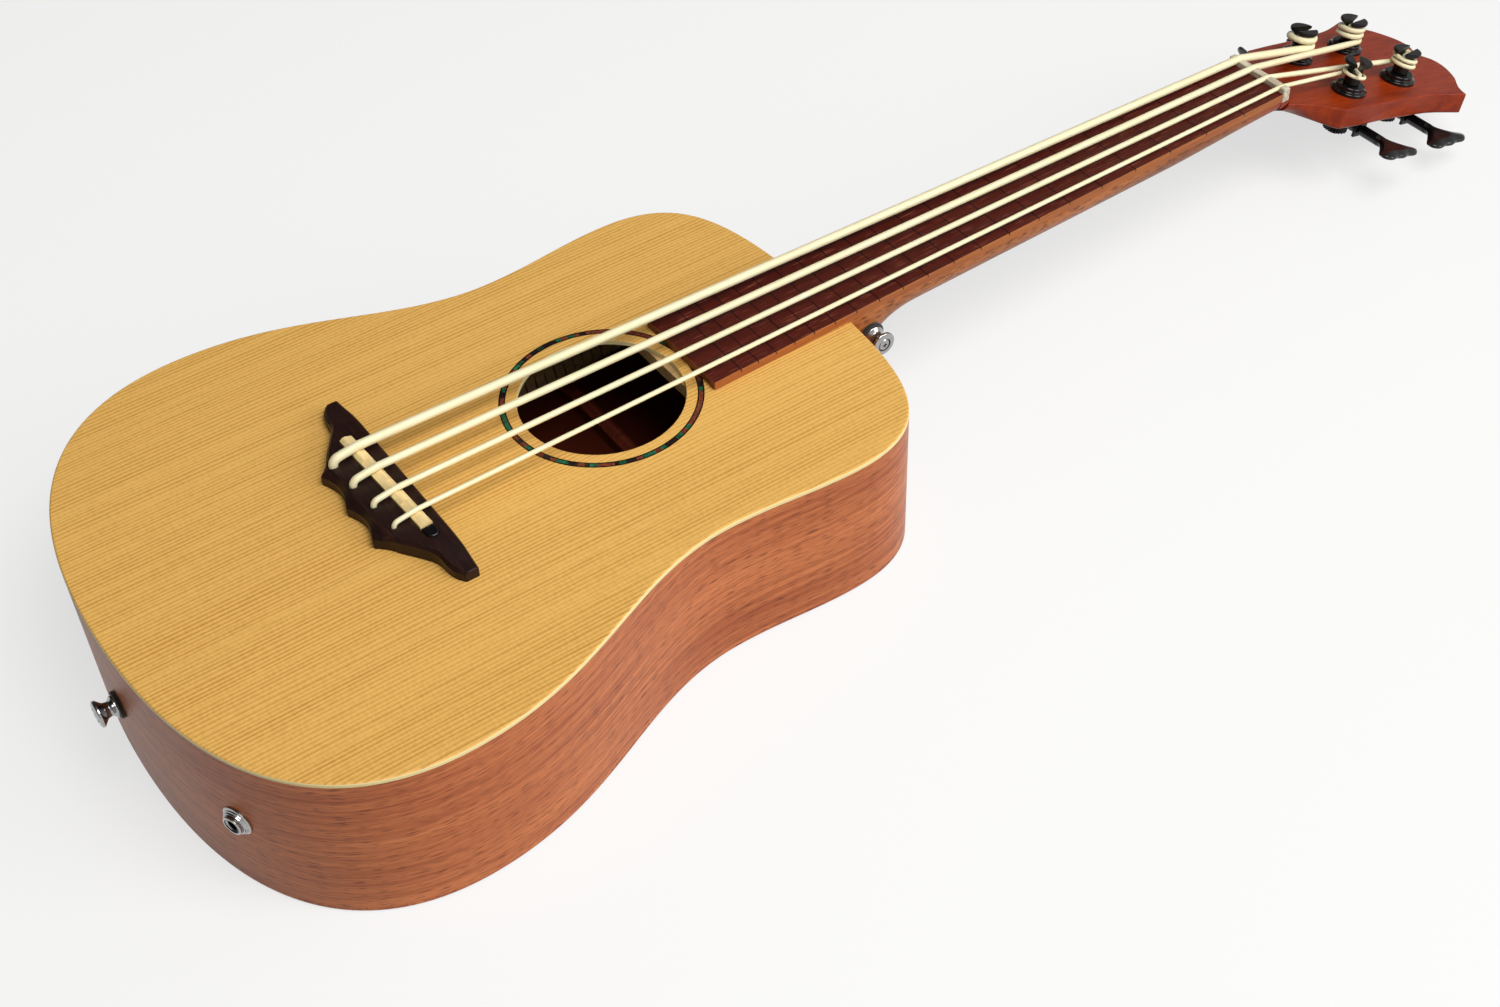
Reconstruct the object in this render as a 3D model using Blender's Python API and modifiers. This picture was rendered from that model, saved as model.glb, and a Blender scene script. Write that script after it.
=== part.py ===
"""A bass ukulele, built from its separate wooden, metal, plastic and string pieces.

Every piece is drawn in the instrument's own frame: X to the treble side, Y from the tail to the
head, Z out of the soundboard, with zero at the soundboard's face under the saddle line. One empty
turns that frame so that the slightly tapered body lies with its flat back on the ground plane.
"""

from math import acos, atan, atan2, ceil, cos, degrees, pi, radians, sin, sqrt, tan

import bmesh
import bpy
from mathutils import Matrix, Vector

MM = 0.001
GAP = 0.3 * MM

# Scale and body outline (half widths and places along the body)
SCALE_LENGTH = 560 * MM
TAIL_Y = -152.9 * MM
LOWER_BOUT = (153.7 * MM, -47.1 * MM)
WAIST = (111.1 * MM, 113.3 * MM)
UPPER_BOUT = (116.2 * MM, 183.9 * MM)
NECK_END_Y = 246.3 * MM
TAIL_PULL = 99.1 * MM
LOWER_PULLS = (70.1 * MM, 68.9 * MM)
WAIST_PULLS = (56.1 * MM, 26.8 * MM)
UPPER_PULLS = (25.4 * MM, 50.0 * MM)
NECK_END_PULL = 85.0 * MM
OUTLINE_STEPS = 8

# Body depth and walls
DEPTH_AT_SADDLE = 89.5 * MM
DEPTH_TAPER = 0.027
TOP_THICK = 2.6 * MM
BACK_THICK = 2.6 * MM
SIDE_THICK = 2.0 * MM
PLATE_ROUNDING = 1.1 * MM
LINING_WIDE = 5.0 * MM
LINING_HIGH = 12.0 * MM
NECK_BLOCK_HALF = 33 * MM
NECK_BLOCK_LONG = 28 * MM
TAIL_BLOCK_HALF = 28 * MM
TAIL_BLOCK_LONG = 14 * MM

# Sound hole and its ring
HOLE_Y = 113 * MM
HOLE_RADIUS = 42 * MM
RING_INNER = 47.6 * MM
RING_OUTER = 51.0 * MM
RING_DEEP = 1.4 * MM

# Braces
BRACE_HIGH = 10 * MM
BRACE_WIDE = 8 * MM
BRACE_END_HIGH = 3 * MM
UPPER_BRACE_Y = 155.5 * MM
LOWER_BRACE_Y = 62 * MM
FAN_HIGH = 6 * MM
FAN_WIDE = 6 * MM
FAN_START = (64 * MM, 50 * MM)
FAN_END = (78 * MM, -104 * MM)
BRIDGE_PLATE_HALF = 56 * MM
BRIDGE_PLATE_Y = (-36 * MM, 12 * MM)
BRIDGE_PLATE_THICK = 2.4 * MM
BACK_BRACE_YS = {"upper": 143 * MM, "middle": 38 * MM, "lower": -70 * MM}

# Fingerboard and nut
BOARD_THICK = 4.7 * MM
BOARD_END_Y = 160 * MM
NUT_WIDTH = 43.4 * MM
BOARD_WIDTH_LINE_20 = 60.5 * MM
FRET_LINES = 20
LINE_WIDE = 0.6 * MM
LINE_DEEP = 1.5 * MM
NUT_LONG = 5.3 * MM
NUT_TOP = 8.0 * MM
NUT_LEDGE = 1.0 * MM
NUT_ROUNDING = 1.2 * MM

# Neck, heel and tenon
NECK_DEPTH_NUT = 17 * MM
NECK_DEPTH_HEEL = 19 * MM
HEEL_LONG = 51 * MM
HEEL_ABOVE_BACK = 3.0 * MM
NECK_SIDES = 8
TENON_HALF = 9 * MM
TENON_LONG = 12 * MM

# Headstock
HEAD_TILT = 13
HEAD_PAST_NUT = 0.7 * MM
HEAD_Y = SCALE_LENGTH + NUT_LONG + HEAD_PAST_NUT
HEAD_Z = -4 * MM
HEAD_THICK = 12.8 * MM

# Strings: where each crosses nut and bridge, its thickness, and how it lies on its post
BRIDGE_TOP = 8.6 * MM
SADDLE_CROWN = 11.0 * MM
STRING_OVER_NUT = 0.5 * MM
STRING_LIFT = 0.3 * MM
HOLE_CLEAR = 0.6 * MM
KNOT_SWELL = 1.6
KNOT_LONG = 8 * MM
COIL_PITCH_SPARE = 0.65 * MM
COIL_CLEAR = 0.3 * MM
LOOP_POINTS = 24
SLOT_LEAD_IN = 28
SQUEEZE_LONG = 12 * MM
NUT_BEND = 12 * MM
SADDLE_BEND = 8 * MM
HOLE_BEND_SPARE = 1.6 * MM
STRINGS = {
    "e": dict(nut_x=-17.0 * MM, bridge_x=-26.8 * MM, thick=4.75 * MM, hole_y=-19.6 * MM,
              squeeze=0.85, turns=1, start=10.1 * MM, slot=81, stub=-2.0 * MM, rise=0.0),
    "a": dict(nut_x=-5.7 * MM, bridge_x=-8.9 * MM, thick=3.9 * MM, hole_y=-18.3 * MM,
              squeeze=0.82, turns=2, start=7.2 * MM, slot=98, stub=-2.0 * MM, rise=0.0),
    "d": dict(nut_x=5.7 * MM, bridge_x=8.9 * MM, thick=3.1 * MM, hole_y=-16.9 * MM,
              squeeze=0.85, turns=2, start=9.3 * MM, slot=102, stub=-2.0 * MM, rise=0.0),
    "g": dict(nut_x=17.0 * MM, bridge_x=26.8 * MM, thick=2.5 * MM, hole_y=-15.8 * MM,
              squeeze=0.88, turns=1, start=9.3 * MM, slot=143, stub=-10.0 * MM, rise=2.6 * MM),
}

# Bridge, saddle and pickup
BRIDGE_FRONT = 5.0 * MM
BRIDGE_TIP_X = 70 * MM
BRIDGE_TIP_FRONT = 4.0 * MM
BRIDGE_TIP_REAR = -3.0 * MM
BRIDGE_TIP_HIGH = 6.0 * MM
BRIDGE_LEDGE_Y = -21.5 * MM
SPIKE_X = 26 * MM
SPIKE_Y = -27 * MM
SCALLOP_DEEP = 3.6 * MM
SADDLE_WIDE = 6.5 * MM
SADDLE_ENDS = (-39 * MM, 36 * MM)
SADDLE_MID_YS = (-6.8 * MM, -3.5 * MM)
SLOT_FLOOR = 3.6 * MM
PICKUP_THICK = 1.2 * MM
PLUG_LONG = 7.5 * MM
PLUG_PROUD = 0.8 * MM
LEAD_RADIUS = 0.9 * MM
LEAD_X = 33 * MM

# Strap buttons
BUTTON_LONG = 9.5 * MM
BUTTON_BASE_RADIUS = 5.75 * MM
BUTTON_WAIST_RADIUS = 3.6 * MM
BUTTON_FLANGE_RADIUS = 6.8 * MM
FELT_RADIUS = 7.0 * MM
FELT_THICK = 1.8 * MM
SCREW_RADIUS = 1.6 * MM
SCREW_HEAD_RADIUS = 3.4 * MM
SCREW_DEEP = 14 * MM
TAIL_BUTTON_Z = -46 * MM
HEEL_BUTTON = (259 * MM, -15 * MM)

# Jack
JACK_ALONG = 0.383
JACK_Z = -45 * MM
JACK_BARREL_RADIUS = 5.2 * MM
JACK_HOUSING_RADIUS = 7.0 * MM
JACK_HOUSING_LONG = 24 * MM
JACK_BORE_RADIUS = 3.3 * MM
JACK_MOUTH_RADIUS = 4.1 * MM
JACK_OUT = 4.2 * MM
JACK_NUT_RADIUS = 8.0 * MM
JACK_NUT_THICK = 2.6 * MM
JACK_SHOULDER = -SIDE_THICK - 1.0 * MM

# Tuners: places on the head's face (across, along), which side the key is on, key angle
TUNERS = {
    "e": dict(x=-21.6 * MM, along=53.3 * MM, side=-1, turned=42),
    "a": dict(x=-21.2 * MM, along=99.0 * MM, side=-1, turned=38),
    "d": dict(x=21.2 * MM, along=99.0 * MM, side=1, turned=3),
    "g": dict(x=21.6 * MM, along=53.3 * MM, side=1, turned=-2),
}
FLANGE_RADIUS = 10.5 * MM
FLANGE_THICK = 1.8 * MM
TIER_RADIUS = 8.5 * MM
TIER_TOP = 4.9 * MM
BUSH_TUBE_RADIUS = 5.0 * MM
BUSH_TUBE_LONG = 10 * MM
POST_SHAFT_RADIUS = 3.0 * MM
POST_NECK_RADIUS = 4.8 * MM
POST_SHOULDER_RADIUS = 4.2 * MM
POST_TOP = 19.5 * MM
CAP_RADIUS = 8.35 * MM
CAP_UNDER = 17.6 * MM
SLOT_WIDE = 5.0 * MM
SLOT_DEEP = 10.5 * MM
PLATE_THICK = 1.6 * MM
PLATE_ENDS = (-9.8 * MM, 14.5 * MM)
PLATE_LOW_EDGE = -12 * MM
PLATE_PAST_SHAFT = 6 * MM
EAR_U = 9.0 * MM
EAR_THICK = 1.6 * MM
EAR_WIDE = 10 * MM
EAR_PAST_SHAFT = 4.4 * MM
GEAR_DEPTH = 22.5 * MM
GEAR_THICK = 4.8 * MM
GEAR_RADIUS = 7.3 * MM
GEAR_TEETH = 20
TOOTH_HIGH = 1.1 * MM
WORM_RADIUS = 3.9 * MM
WORM_HALF = 6.6 * MM
KEY_SHAFT_RADIUS = 2.2 * MM
KEY_COLLAR_RADIUS = 3.3 * MM
KEY_SHAFT_END = -12 * MM
KEY_COLLAR_START = 10.8 * MM
KEY_START = 26 * MM
KEY_LONG = 19.2 * MM
KEY_HALF_WIDE = 17.3 * MM
KEY_THICK = 4.4 * MM
KEY_ROUNDING = 1.3 * MM
KEY_HALF = (
    (0, 0.17), (0.13, 0.25), (0.26, 0.42), (0.42, 0.65), (0.57, 0.84), (0.70, 0.96), (0.83, 1),
    (0.94, 0.95), (1, 0.81), (1, 0.66), (0.96, 0.49), (0.93, 0.32), (0.96, 0.14), (0.98, 0),
)

for old in list(bpy.data.objects):
    bpy.data.objects.remove(old, do_unlink=True)
PIECES = bpy.data.collections.new("bass_ukulele")
CUTTERS = bpy.data.collections.new("cutters")
bpy.context.scene.collection.children.link(PIECES)
bpy.context.scene.collection.children.link(CUTTERS)


# Materials
def linear(level):
    """One sRGB level, 0 to 255, as the linear value that a shader takes."""
    share = level / 255
    return share / 12.92 if share <= 0.04045 else ((share + 0.055) / 1.055) ** 2.4


def material(name, colour, roughness, metallic=0.0):
    shade = bpy.data.materials.new(name)
    shade.use_nodes = True
    surface = shade.node_tree.nodes["Principled BSDF"]
    levels = [linear(int(colour[i:i + 2], 16)) for i in (1, 3, 5)]
    surface.inputs["Base Color"].default_value = (*levels, 1.0)
    surface.inputs["Roughness"].default_value = roughness
    surface.inputs["Metallic"].default_value = metallic
    return shade


SPRUCE = material("spruce", "#DDB265", 0.45)
INNER_SPRUCE = material("inner_spruce", "#D9BC8C", 0.7)
MAHOGANY = material("mahogany", "#A05636", 0.4)
HEAD_WOOD = material("neck_mahogany", "#A2421F", 0.35)
ROSEWOOD = material("fingerboard_wood", "#47201D", 0.45)
DARK_WOOD = material("bridge_wood", "#2E1C1A", 0.4)
BONE = material("bone", "#E8D9B0", 0.35)
INLAY = material("shell_inlay", "#4E7A64", 0.25)
POLYMER = material("string_polymer", "#F2EBBE", 0.45)
BLACK_METAL = material("black_metal", "#141314", 0.25, 0.6)
BLACK_PLASTIC = material("black_plastic", "#151515", 0.2)
BRASS = material("brass", "#B8944A", 0.35, 1.0)
CHROME = material("chrome", "#D0D2D4", 0.12, 1.0)
FELT = material("felt", "#15130F", 0.95)
CABLE = material("cable", "#1B1B1B", 0.5)


# Frames: the instrument lies on its back, and the head is tilted against the board
BACK_ANGLE = -atan(DEPTH_TAPER)
INSTRUMENT = bpy.data.objects.new("instrument", None)
INSTRUMENT.rotation_euler = (BACK_ANGLE, 0, 0)
INSTRUMENT.location = Matrix.Rotation(BACK_ANGLE, 3, "X") @ Vector((0, 0, DEPTH_AT_SADDLE))
HEAD_TURN = Matrix.Rotation(-radians(HEAD_TILT), 3, "X")
HEAD_ORIGIN = Vector((0, HEAD_Y, HEAD_Z))
HEAD = bpy.data.objects.new("head_frame", None)
HEAD.parent = INSTRUMENT
HEAD.location = HEAD_ORIGIN
HEAD.rotation_euler = (-radians(HEAD_TILT), 0, 0)
bpy.context.scene.collection.objects.link(INSTRUMENT)
bpy.context.scene.collection.objects.link(HEAD)


# Shared tools
def add(name, mesh, shade, parent=INSTRUMENT):
    body = bpy.data.objects.new(name, mesh)
    mesh.materials.clear()
    mesh.materials.append(shade)
    PIECES.objects.link(body)
    body.parent = parent
    return body


def cutter(name, mesh, parent=INSTRUMENT):
    body = bpy.data.objects.new("cut_" + name, mesh)
    CUTTERS.objects.link(body)
    body.parent = parent
    body.hide_render = True
    body.display_type = "WIRE"
    return body


def combine(target, others, operation="DIFFERENCE"):
    for other in others:
        step = target.modifiers.new(operation.title(), "BOOLEAN")
        step.operation = operation
        step.object = other


def soften(target, width, segments=1, angle=40):
    step = target.modifiers.new("Bevel", "BEVEL")
    step.width = width
    step.segments = segments
    step.limit_method = "ANGLE"
    step.angle_limit = radians(angle)


def finished(build, smooth_angle=35):
    """A mesh from a filled bmesh, shaded smooth except across edges sharper than the angle."""
    mesh = bpy.data.meshes.new("shape")
    build.to_mesh(mesh)
    build.free()
    mesh.shade_smooth()
    mesh.set_sharp_from_angle(angle=radians(smooth_angle))
    return mesh


def box_mesh(size, centre=(0, 0, 0)):
    build = bmesh.new()
    place = Matrix.Translation(centre) @ Matrix.Diagonal((*size, 1))
    bmesh.ops.create_cube(build, size=1, matrix=place)
    return finished(build)


def span_mesh(xs, ys, zs):
    """A box between two x, two y and two z values."""
    size = [pair[1] - pair[0] for pair in (xs, ys, zs)]
    centre = [(pair[1] + pair[0]) / 2 for pair in (xs, ys, zs)]
    return box_mesh(size, centre)


def cylinder_mesh(radius, low, high, axis="Z", at=(0, 0, 0), sides=32):
    """A cylinder along one axis between two places on it, through the point at."""
    turns = {"X": Matrix.Rotation(pi / 2, 4, "Y"), "Y": Matrix.Rotation(-pi / 2, 4, "X")}
    place = Matrix.Translation(at) @ turns.get(axis, Matrix.Identity(4))
    place = place @ Matrix.Translation((0, 0, (low + high) / 2))
    build = bmesh.new()
    bmesh.ops.create_cone(build, cap_ends=True, segments=sides, radius1=radius, radius2=radius,
                          depth=high - low, matrix=place)
    return finished(build)


def turned(profile, closed=False):
    """A profile of (radius, height) points from the top down its outer side, as a mesh."""
    mesh = bpy.data.meshes.new("profile")
    points = [(radius, 0, height) for radius, height in profile]
    edges = [(i, i + 1) for i in range(len(points) - 1)]
    if closed:
        edges.append((len(points) - 1, 0))
    mesh.from_pydata(points, edges, [])
    return mesh


def spin(target, steps=24):
    screw = target.modifiers.new("Screw", "SCREW")
    screw.axis = "Z"
    screw.steps = steps
    screw.render_steps = steps
    screw.use_merge_vertices = True
    screw.merge_threshold = 0.00002
    screw.use_smooth_shade = True


def evaluated_mesh(body):
    """The mesh that an object makes with its curve settings or modifiers, ends welded."""
    bpy.context.view_layer.update()
    found = body.evaluated_get(bpy.context.evaluated_depsgraph_get())
    mesh = bpy.data.meshes.new_from_object(found)
    build = bmesh.new()
    build.from_mesh(mesh)
    bmesh.ops.remove_doubles(build, verts=build.verts, dist=0.00001)
    build.to_mesh(mesh)
    build.free()
    return mesh


def flat_mesh(outlines, low, high, smooth_angle=35):
    """Closed outlines filled as one flat shape; low and high are heights, or functions of y."""
    curve = bpy.data.curves.new("outline", "CURVE")
    curve.dimensions = "2D"
    curve.fill_mode = "BOTH"
    curve.extrude = 1 * MM
    for outline in outlines:
        line = curve.splines.new("POLY")
        line.points.add(len(outline) - 1)
        for point, (x, y) in zip(line.points, outline):
            point.co = (x, y, 0, 1)
        line.use_cyclic_u = True
    body = bpy.data.objects.new("outline", curve)
    bpy.context.scene.collection.objects.link(body)
    mesh = evaluated_mesh(body)
    bpy.data.objects.remove(body)
    for vertex in mesh.vertices:
        level = high if vertex.co.z > 0 else low
        vertex.co.z = level(vertex.co.y) if callable(level) else level
    mesh.shade_smooth()
    mesh.set_sharp_from_angle(angle=radians(smooth_angle))
    return mesh


def loft_mesh(rings, smooth_angle=35):
    """Rings of equally many points joined in order and closed at both ends."""
    build = bmesh.new()
    rows = [[build.verts.new(point) for point in ring] for ring in rings]
    count = len(rows[0])
    for row, after in zip(rows, rows[1:]):
        for i in range(count):
            j = (i + 1) % count
            build.faces.new((row[i], row[j], after[j], after[i]))
    build.faces.new(rows[0])
    build.faces.new(rows[-1])
    bmesh.ops.recalc_face_normals(build, faces=build.faces)
    return finished(build, smooth_angle)


def circle(radius, count=40, centre=(0, 0)):
    return [(centre[0] + radius * cos(2 * pi * i / count),
             centre[1] + radius * sin(2 * pi * i / count)) for i in range(count)]


def mirrored(half):
    """A closed outline from its treble half, whose first and last points may lie on x = 0."""
    left = [(-x, y) for x, y in reversed(half) if x > 0.001 * MM]
    return half + left


def tube_curve(points, radius, factors=None, resolution=1):
    curve = bpy.data.curves.new("tube", "CURVE")
    curve.dimensions = "3D"
    curve.bevel_depth = radius
    curve.bevel_resolution = resolution
    curve.use_fill_caps = True
    line = curve.splines.new("POLY")
    line.points.add(len(points) - 1)
    for i, point in enumerate(points):
        line.points[i].co = (*point, 1)
        line.points[i].radius = factors[i] if factors else 1.0
    return curve


def tube_mesh(points, radius, resolution=2):
    """A tube as a closed mesh, for cutting."""
    body = bpy.data.objects.new("tube", tube_curve(points, radius, None, resolution))
    bpy.context.scene.collection.objects.link(body)
    mesh = evaluated_mesh(body)
    bpy.data.objects.remove(body)
    return mesh


def round_corners(points, bends, step=20):
    """A polyline with an arc of the given radius at each inner point, or None to leave it."""
    path = [Vector(points[0])]
    for before, corner, after, bend in zip(points, points[1:], points[2:], bends):
        corner = Vector(corner)
        first = (corner - Vector(before)).normalized()
        second = (Vector(after) - corner).normalized()
        turn = first.angle(second)
        if bend is None or turn < radians(0.5):
            path.append(corner)
            continue
        reach = bend * tan(turn / 2)
        inward = (second - first).normalized()
        middle = corner + inward * (bend / cos(turn / 2))
        axis = first.cross(second).normalized()
        start = corner - first * reach - middle
        count = max(2, ceil(degrees(turn) / step))
        for i in range(count + 1):
            path.append(middle + Matrix.Rotation(turn * i / count, 3, axis) @ start)
    path.append(Vector(points[-1]))
    return path


# The body's outline
def bezier(ends, share):
    a, b, c, d = ends
    rest = 1 - share
    weights = (rest ** 3, 3 * rest * rest * share, 3 * rest * share * share, share ** 3)
    return sum((Vector(p) * w for p, w in zip((a, b, c, d), weights)), Vector((0, 0)))


def bezier_slope(ends, share):
    a, b, c, d = (Vector(p) for p in ends)
    rest = 1 - share
    return (b - a) * rest * rest + (c - b) * 2 * rest * share + (d - c) * share * share


OUTLINE = (
    ((0, TAIL_Y), (TAIL_PULL, TAIL_Y), (LOWER_BOUT[0], LOWER_BOUT[1] - LOWER_PULLS[0]), LOWER_BOUT),
    (LOWER_BOUT, (LOWER_BOUT[0], LOWER_BOUT[1] + LOWER_PULLS[1]),
     (WAIST[0], WAIST[1] - WAIST_PULLS[0]), WAIST),
    (WAIST, (WAIST[0], WAIST[1] + WAIST_PULLS[1]),
     (UPPER_BOUT[0], UPPER_BOUT[1] - UPPER_PULLS[0]), UPPER_BOUT),
    (UPPER_BOUT, (UPPER_BOUT[0], UPPER_BOUT[1] + UPPER_PULLS[1]),
     (NECK_END_PULL, NECK_END_Y), (0, NECK_END_Y)),
)


def outline_normal(ends, share):
    slope = bezier_slope(ends, share).normalized()
    return Vector((slope.y, -slope.x))


def half_outline(inset):
    """The treble half of the body's outline, from tail to neck, moved in by inset."""
    points = []
    for ends in OUTLINE:
        for i in range(OUTLINE_STEPS):
            share = i / OUTLINE_STEPS
            points.append(bezier(ends, share) - outline_normal(ends, share) * inset)
    points.append(Vector((0, NECK_END_Y - inset)))
    return [(point.x, point.y) for point in points]


def crossing(a, b, x):
    share = (x - a[0]) / (b[0] - a[0])
    return (x, a[1] + (b[1] - a[1]) * share)


def clipped(points, tail_x, neck_x):
    """The part of a half outline that lies further out than tail_x and neck_x at its ends."""
    first = next(i for i, point in enumerate(points) if point[0] > tail_x)
    last = max(i for i, point in enumerate(points) if point[0] > neck_x)
    kept = [crossing(points[first - 1], points[first], tail_x)]
    kept += points[first:last + 1]
    kept.append(crossing(points[last], points[last + 1], neck_x))
    return kept


def strip_outline(inset, wide, tail_x, neck_x, side):
    """A closed strip of the given width along one half of the outline."""
    outer = clipped(half_outline(inset), tail_x, neck_x)
    inner = clipped(half_outline(inset + wide), tail_x, neck_x)
    strip = outer + inner[::-1]
    if side < 0:
        strip = [(-x, y) for x, y in reversed(strip)]
    return strip


def end_outline(inset, half, far_y, at_tail):
    """A block that fits one end of the inset outline and ends straight across at far_y."""
    points = half_outline(inset)
    if not at_tail:
        points = points[::-1]
    last = max(i for i, point in enumerate(points[:OUTLINE_STEPS]) if point[0] < half)
    kept = points[:last + 1] + [crossing(points[last], points[last + 1], half)]
    return mirrored(kept + [(half, far_y)])


def back_outer(y):
    return -(DEPTH_AT_SADDLE - DEPTH_TAPER * y)


def back_inner(y):
    return back_outer(y) + BACK_THICK


def wall_low(y):
    return back_inner(y) + GAP


WALL_HIGH = -(TOP_THICK + GAP)
INSIDE = SIDE_THICK + GAP
SIDE_LETTERS = {"bass": -1, "treble": 1}


def make_body():
    whole = mirrored(half_outline(0))
    top = add("soundboard", flat_mesh([whole], -TOP_THICK, 0, 50), SPRUCE)
    soften(top, PLATE_ROUNDING)
    hole = cutter("sound_hole", cylinder_mesh(HOLE_RADIUS, -20 * MM, 20 * MM, at=(0, HOLE_Y, 0), sides=40))
    ring = cutter("ring_groove", ring_mesh(RING_INNER, RING_OUTER, -RING_DEEP, RING_DEEP))
    combine(top, [hole, ring] + [string_hole(key, TOP_THICK) for key in STRINGS] + [lead_hole(TOP_THICK)])

    back = add("back_plate", flat_mesh([whole], back_outer, back_inner, 50), MAHOGANY)
    soften(back, PLATE_ROUNDING)

    tail_bore = cutter("tail_screw", cylinder_mesh(SCREW_RADIUS + GAP, -8 * MM, 24 * MM, "Y",
                                                   (0, TAIL_Y, TAIL_BUTTON_Z), 16))
    for side, sign in SIDE_LETTERS.items():
        wall = strip_outline(0, SIDE_THICK, GAP / 2, TENON_HALF + GAP, sign)
        made = add("side_" + side, flat_mesh([wall], wall_low, WALL_HIGH, 50), MAHOGANY)
        combine(made, [tail_bore])
        if sign > 0:
            jack_bore = cylinder_mesh(JACK_BARREL_RADIUS + GAP, -12 * MM, 12 * MM, sides=24)
            combine(made, [cutter("jack_hole", jack_bore, JACK)])
        strip = strip_outline(INSIDE, LINING_WIDE, TAIL_BLOCK_HALF + GAP, NECK_BLOCK_HALF + GAP, sign)
        upper = flat_mesh([strip], WALL_HIGH - LINING_HIGH, WALL_HIGH, 50)
        add("top_lining_" + side, upper, INNER_SPRUCE)
        lower = flat_mesh([strip], wall_low, lambda y: wall_low(y) + LINING_HIGH, 50)
        add("back_lining_" + side, lower, INNER_SPRUCE)

    neck_face = NECK_END_Y - INSIDE - NECK_BLOCK_LONG
    block = flat_mesh([end_outline(INSIDE, NECK_BLOCK_HALF, neck_face, False)], wall_low, WALL_HIGH)
    neck_block = add("neck_block", block, MAHOGANY)
    slot = span_mesh((-TENON_HALF - GAP, TENON_HALF + GAP),
                     (NECK_END_Y - SIDE_THICK - TENON_LONG - GAP, NECK_END_Y + 5 * MM),
                     (-200 * MM, 50 * MM))
    combine(neck_block, [cutter("tenon_slot", slot)])
    tail_face = TAIL_Y + INSIDE + TAIL_BLOCK_LONG
    block = flat_mesh([end_outline(INSIDE, TAIL_BLOCK_HALF, tail_face, True)], wall_low, WALL_HIGH)
    combine(add("tail_block", block, MAHOGANY), [tail_bore])


def ring_mesh(inner, outer, low, high):
    return flat_mesh([[(x, y + HOLE_Y) for x, y in circle(outer)],
                      [(x, y + HOLE_Y) for x, y in circle(inner)]], low, high)


def make_rosette():
    mesh = ring_mesh(RING_INNER + GAP, RING_OUTER - GAP, GAP - RING_DEEP, 0)
    add("rosette", mesh, INLAY)


def string_hole(key, deep):
    """A hole for one string through the pieces under the bridge, from above down past deep."""
    string = STRINGS[key]
    reach = cylinder_mesh(string["thick"] / 2 + HOLE_CLEAR, -deep - 10 * MM, 12 * MM,
                          at=(string["bridge_x"], string["hole_y"], 0), sides=14)
    return cutter("string_hole_" + key, reach)


def saddle_y(x):
    share = (x - SADDLE_ENDS[0]) / (SADDLE_ENDS[1] - SADDLE_ENDS[0])
    return SADDLE_MID_YS[0] + (SADDLE_MID_YS[1] - SADDLE_MID_YS[0]) * share


def lead_hole(deep):
    reach = cylinder_mesh(LEAD_RADIUS + GAP, -deep - 10 * MM, SLOT_FLOOR + MM,
                          at=(LEAD_X, saddle_y(LEAD_X), 0), sides=12)
    return cutter("lead_hole", reach)


def inside_half(y):
    """How far the inside reaches from the centre line at y, up to the linings."""
    edge = half_outline(INSIDE + LINING_WIDE + GAP)
    spans = [(a, b) for a, b in zip(edge, edge[1:]) if min(a[1], b[1]) <= y <= max(a[1], b[1])]
    return min(a[0] + (b[0] - a[0]) * (y - a[1]) / (b[1] - a[1]) for a, b in spans if a[1] != b[1])


BRACE_SECTION = ((-1, 0), (1, 0), (1, 0.75), (0.3, 1), (-0.3, 1), (-1, 0.75))
BRACE_RAMP = 22 * MM


def brace_mesh(start, end, wide, high, base, up):
    """A brace along a straight line on a plate, high along its length and low at its ends."""
    first, last = Vector(start), Vector(end)
    along = (last - first).normalized()
    across = Vector((-along.y, along.x)) * wide / 2
    length = (last - first).length
    ramp = min(BRACE_RAMP, length / 4)
    rings = []
    levels = ((0, BRACE_END_HIGH), (ramp, high), (length - ramp, high), (length, BRACE_END_HIGH))
    for place, level in levels:
        middle = first + along * place
        ring = []
        for offset, lift in BRACE_SECTION:
            spot = middle + across * offset
            ring.append((spot.x, spot.y, base(spot.y) + up * lift * level))
        rings.append(ring)
    return loft_mesh(rings, 30)


def make_braces():
    for name, y in (("upper", UPPER_BRACE_Y), ("lower", LOWER_BRACE_Y)):
        half = min(inside_half(y - BRACE_WIDE / 2), inside_half(y + BRACE_WIDE / 2))
        mesh = brace_mesh((-half, y), (half, y), BRACE_WIDE, BRACE_HIGH, lambda _: WALL_HIGH, -1)
        add(name + "_brace", mesh, INNER_SPRUCE)
    for side, sign in SIDE_LETTERS.items():
        mesh = brace_mesh((sign * FAN_START[0], FAN_START[1]), (sign * FAN_END[0], FAN_END[1]),
                          FAN_WIDE, FAN_HIGH, lambda _: WALL_HIGH, -1)
        add("fan_brace_" + side, mesh, INNER_SPRUCE)
    for name, y in BACK_BRACE_YS.items():
        half = min(inside_half(y - BRACE_WIDE / 2), inside_half(y + BRACE_WIDE / 2))
        mesh = brace_mesh((-half, y), (half, y), BRACE_WIDE, BRACE_HIGH, wall_low, 1)
        add("back_brace_" + name, mesh, INNER_SPRUCE)
    plate = span_mesh((-BRIDGE_PLATE_HALF, BRIDGE_PLATE_HALF), BRIDGE_PLATE_Y,
                      (WALL_HIGH - BRIDGE_PLATE_THICK, WALL_HIGH))
    made = add("bridge_plate", plate, MAHOGANY)
    combine(made, [string_hole(key, 10 * MM) for key in STRINGS] + [lead_hole(10 * MM)])


# Fingerboard, nut and neck
def board_half(y):
    """Half the fingerboard's width at y, wider toward the body."""
    line_20 = SCALE_LENGTH * 2 ** (-20 / 12)
    share = (SCALE_LENGTH - y) / (SCALE_LENGTH - line_20)
    return (NUT_WIDTH + (BOARD_WIDTH_LINE_20 - NUT_WIDTH) * share) / 2


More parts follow.
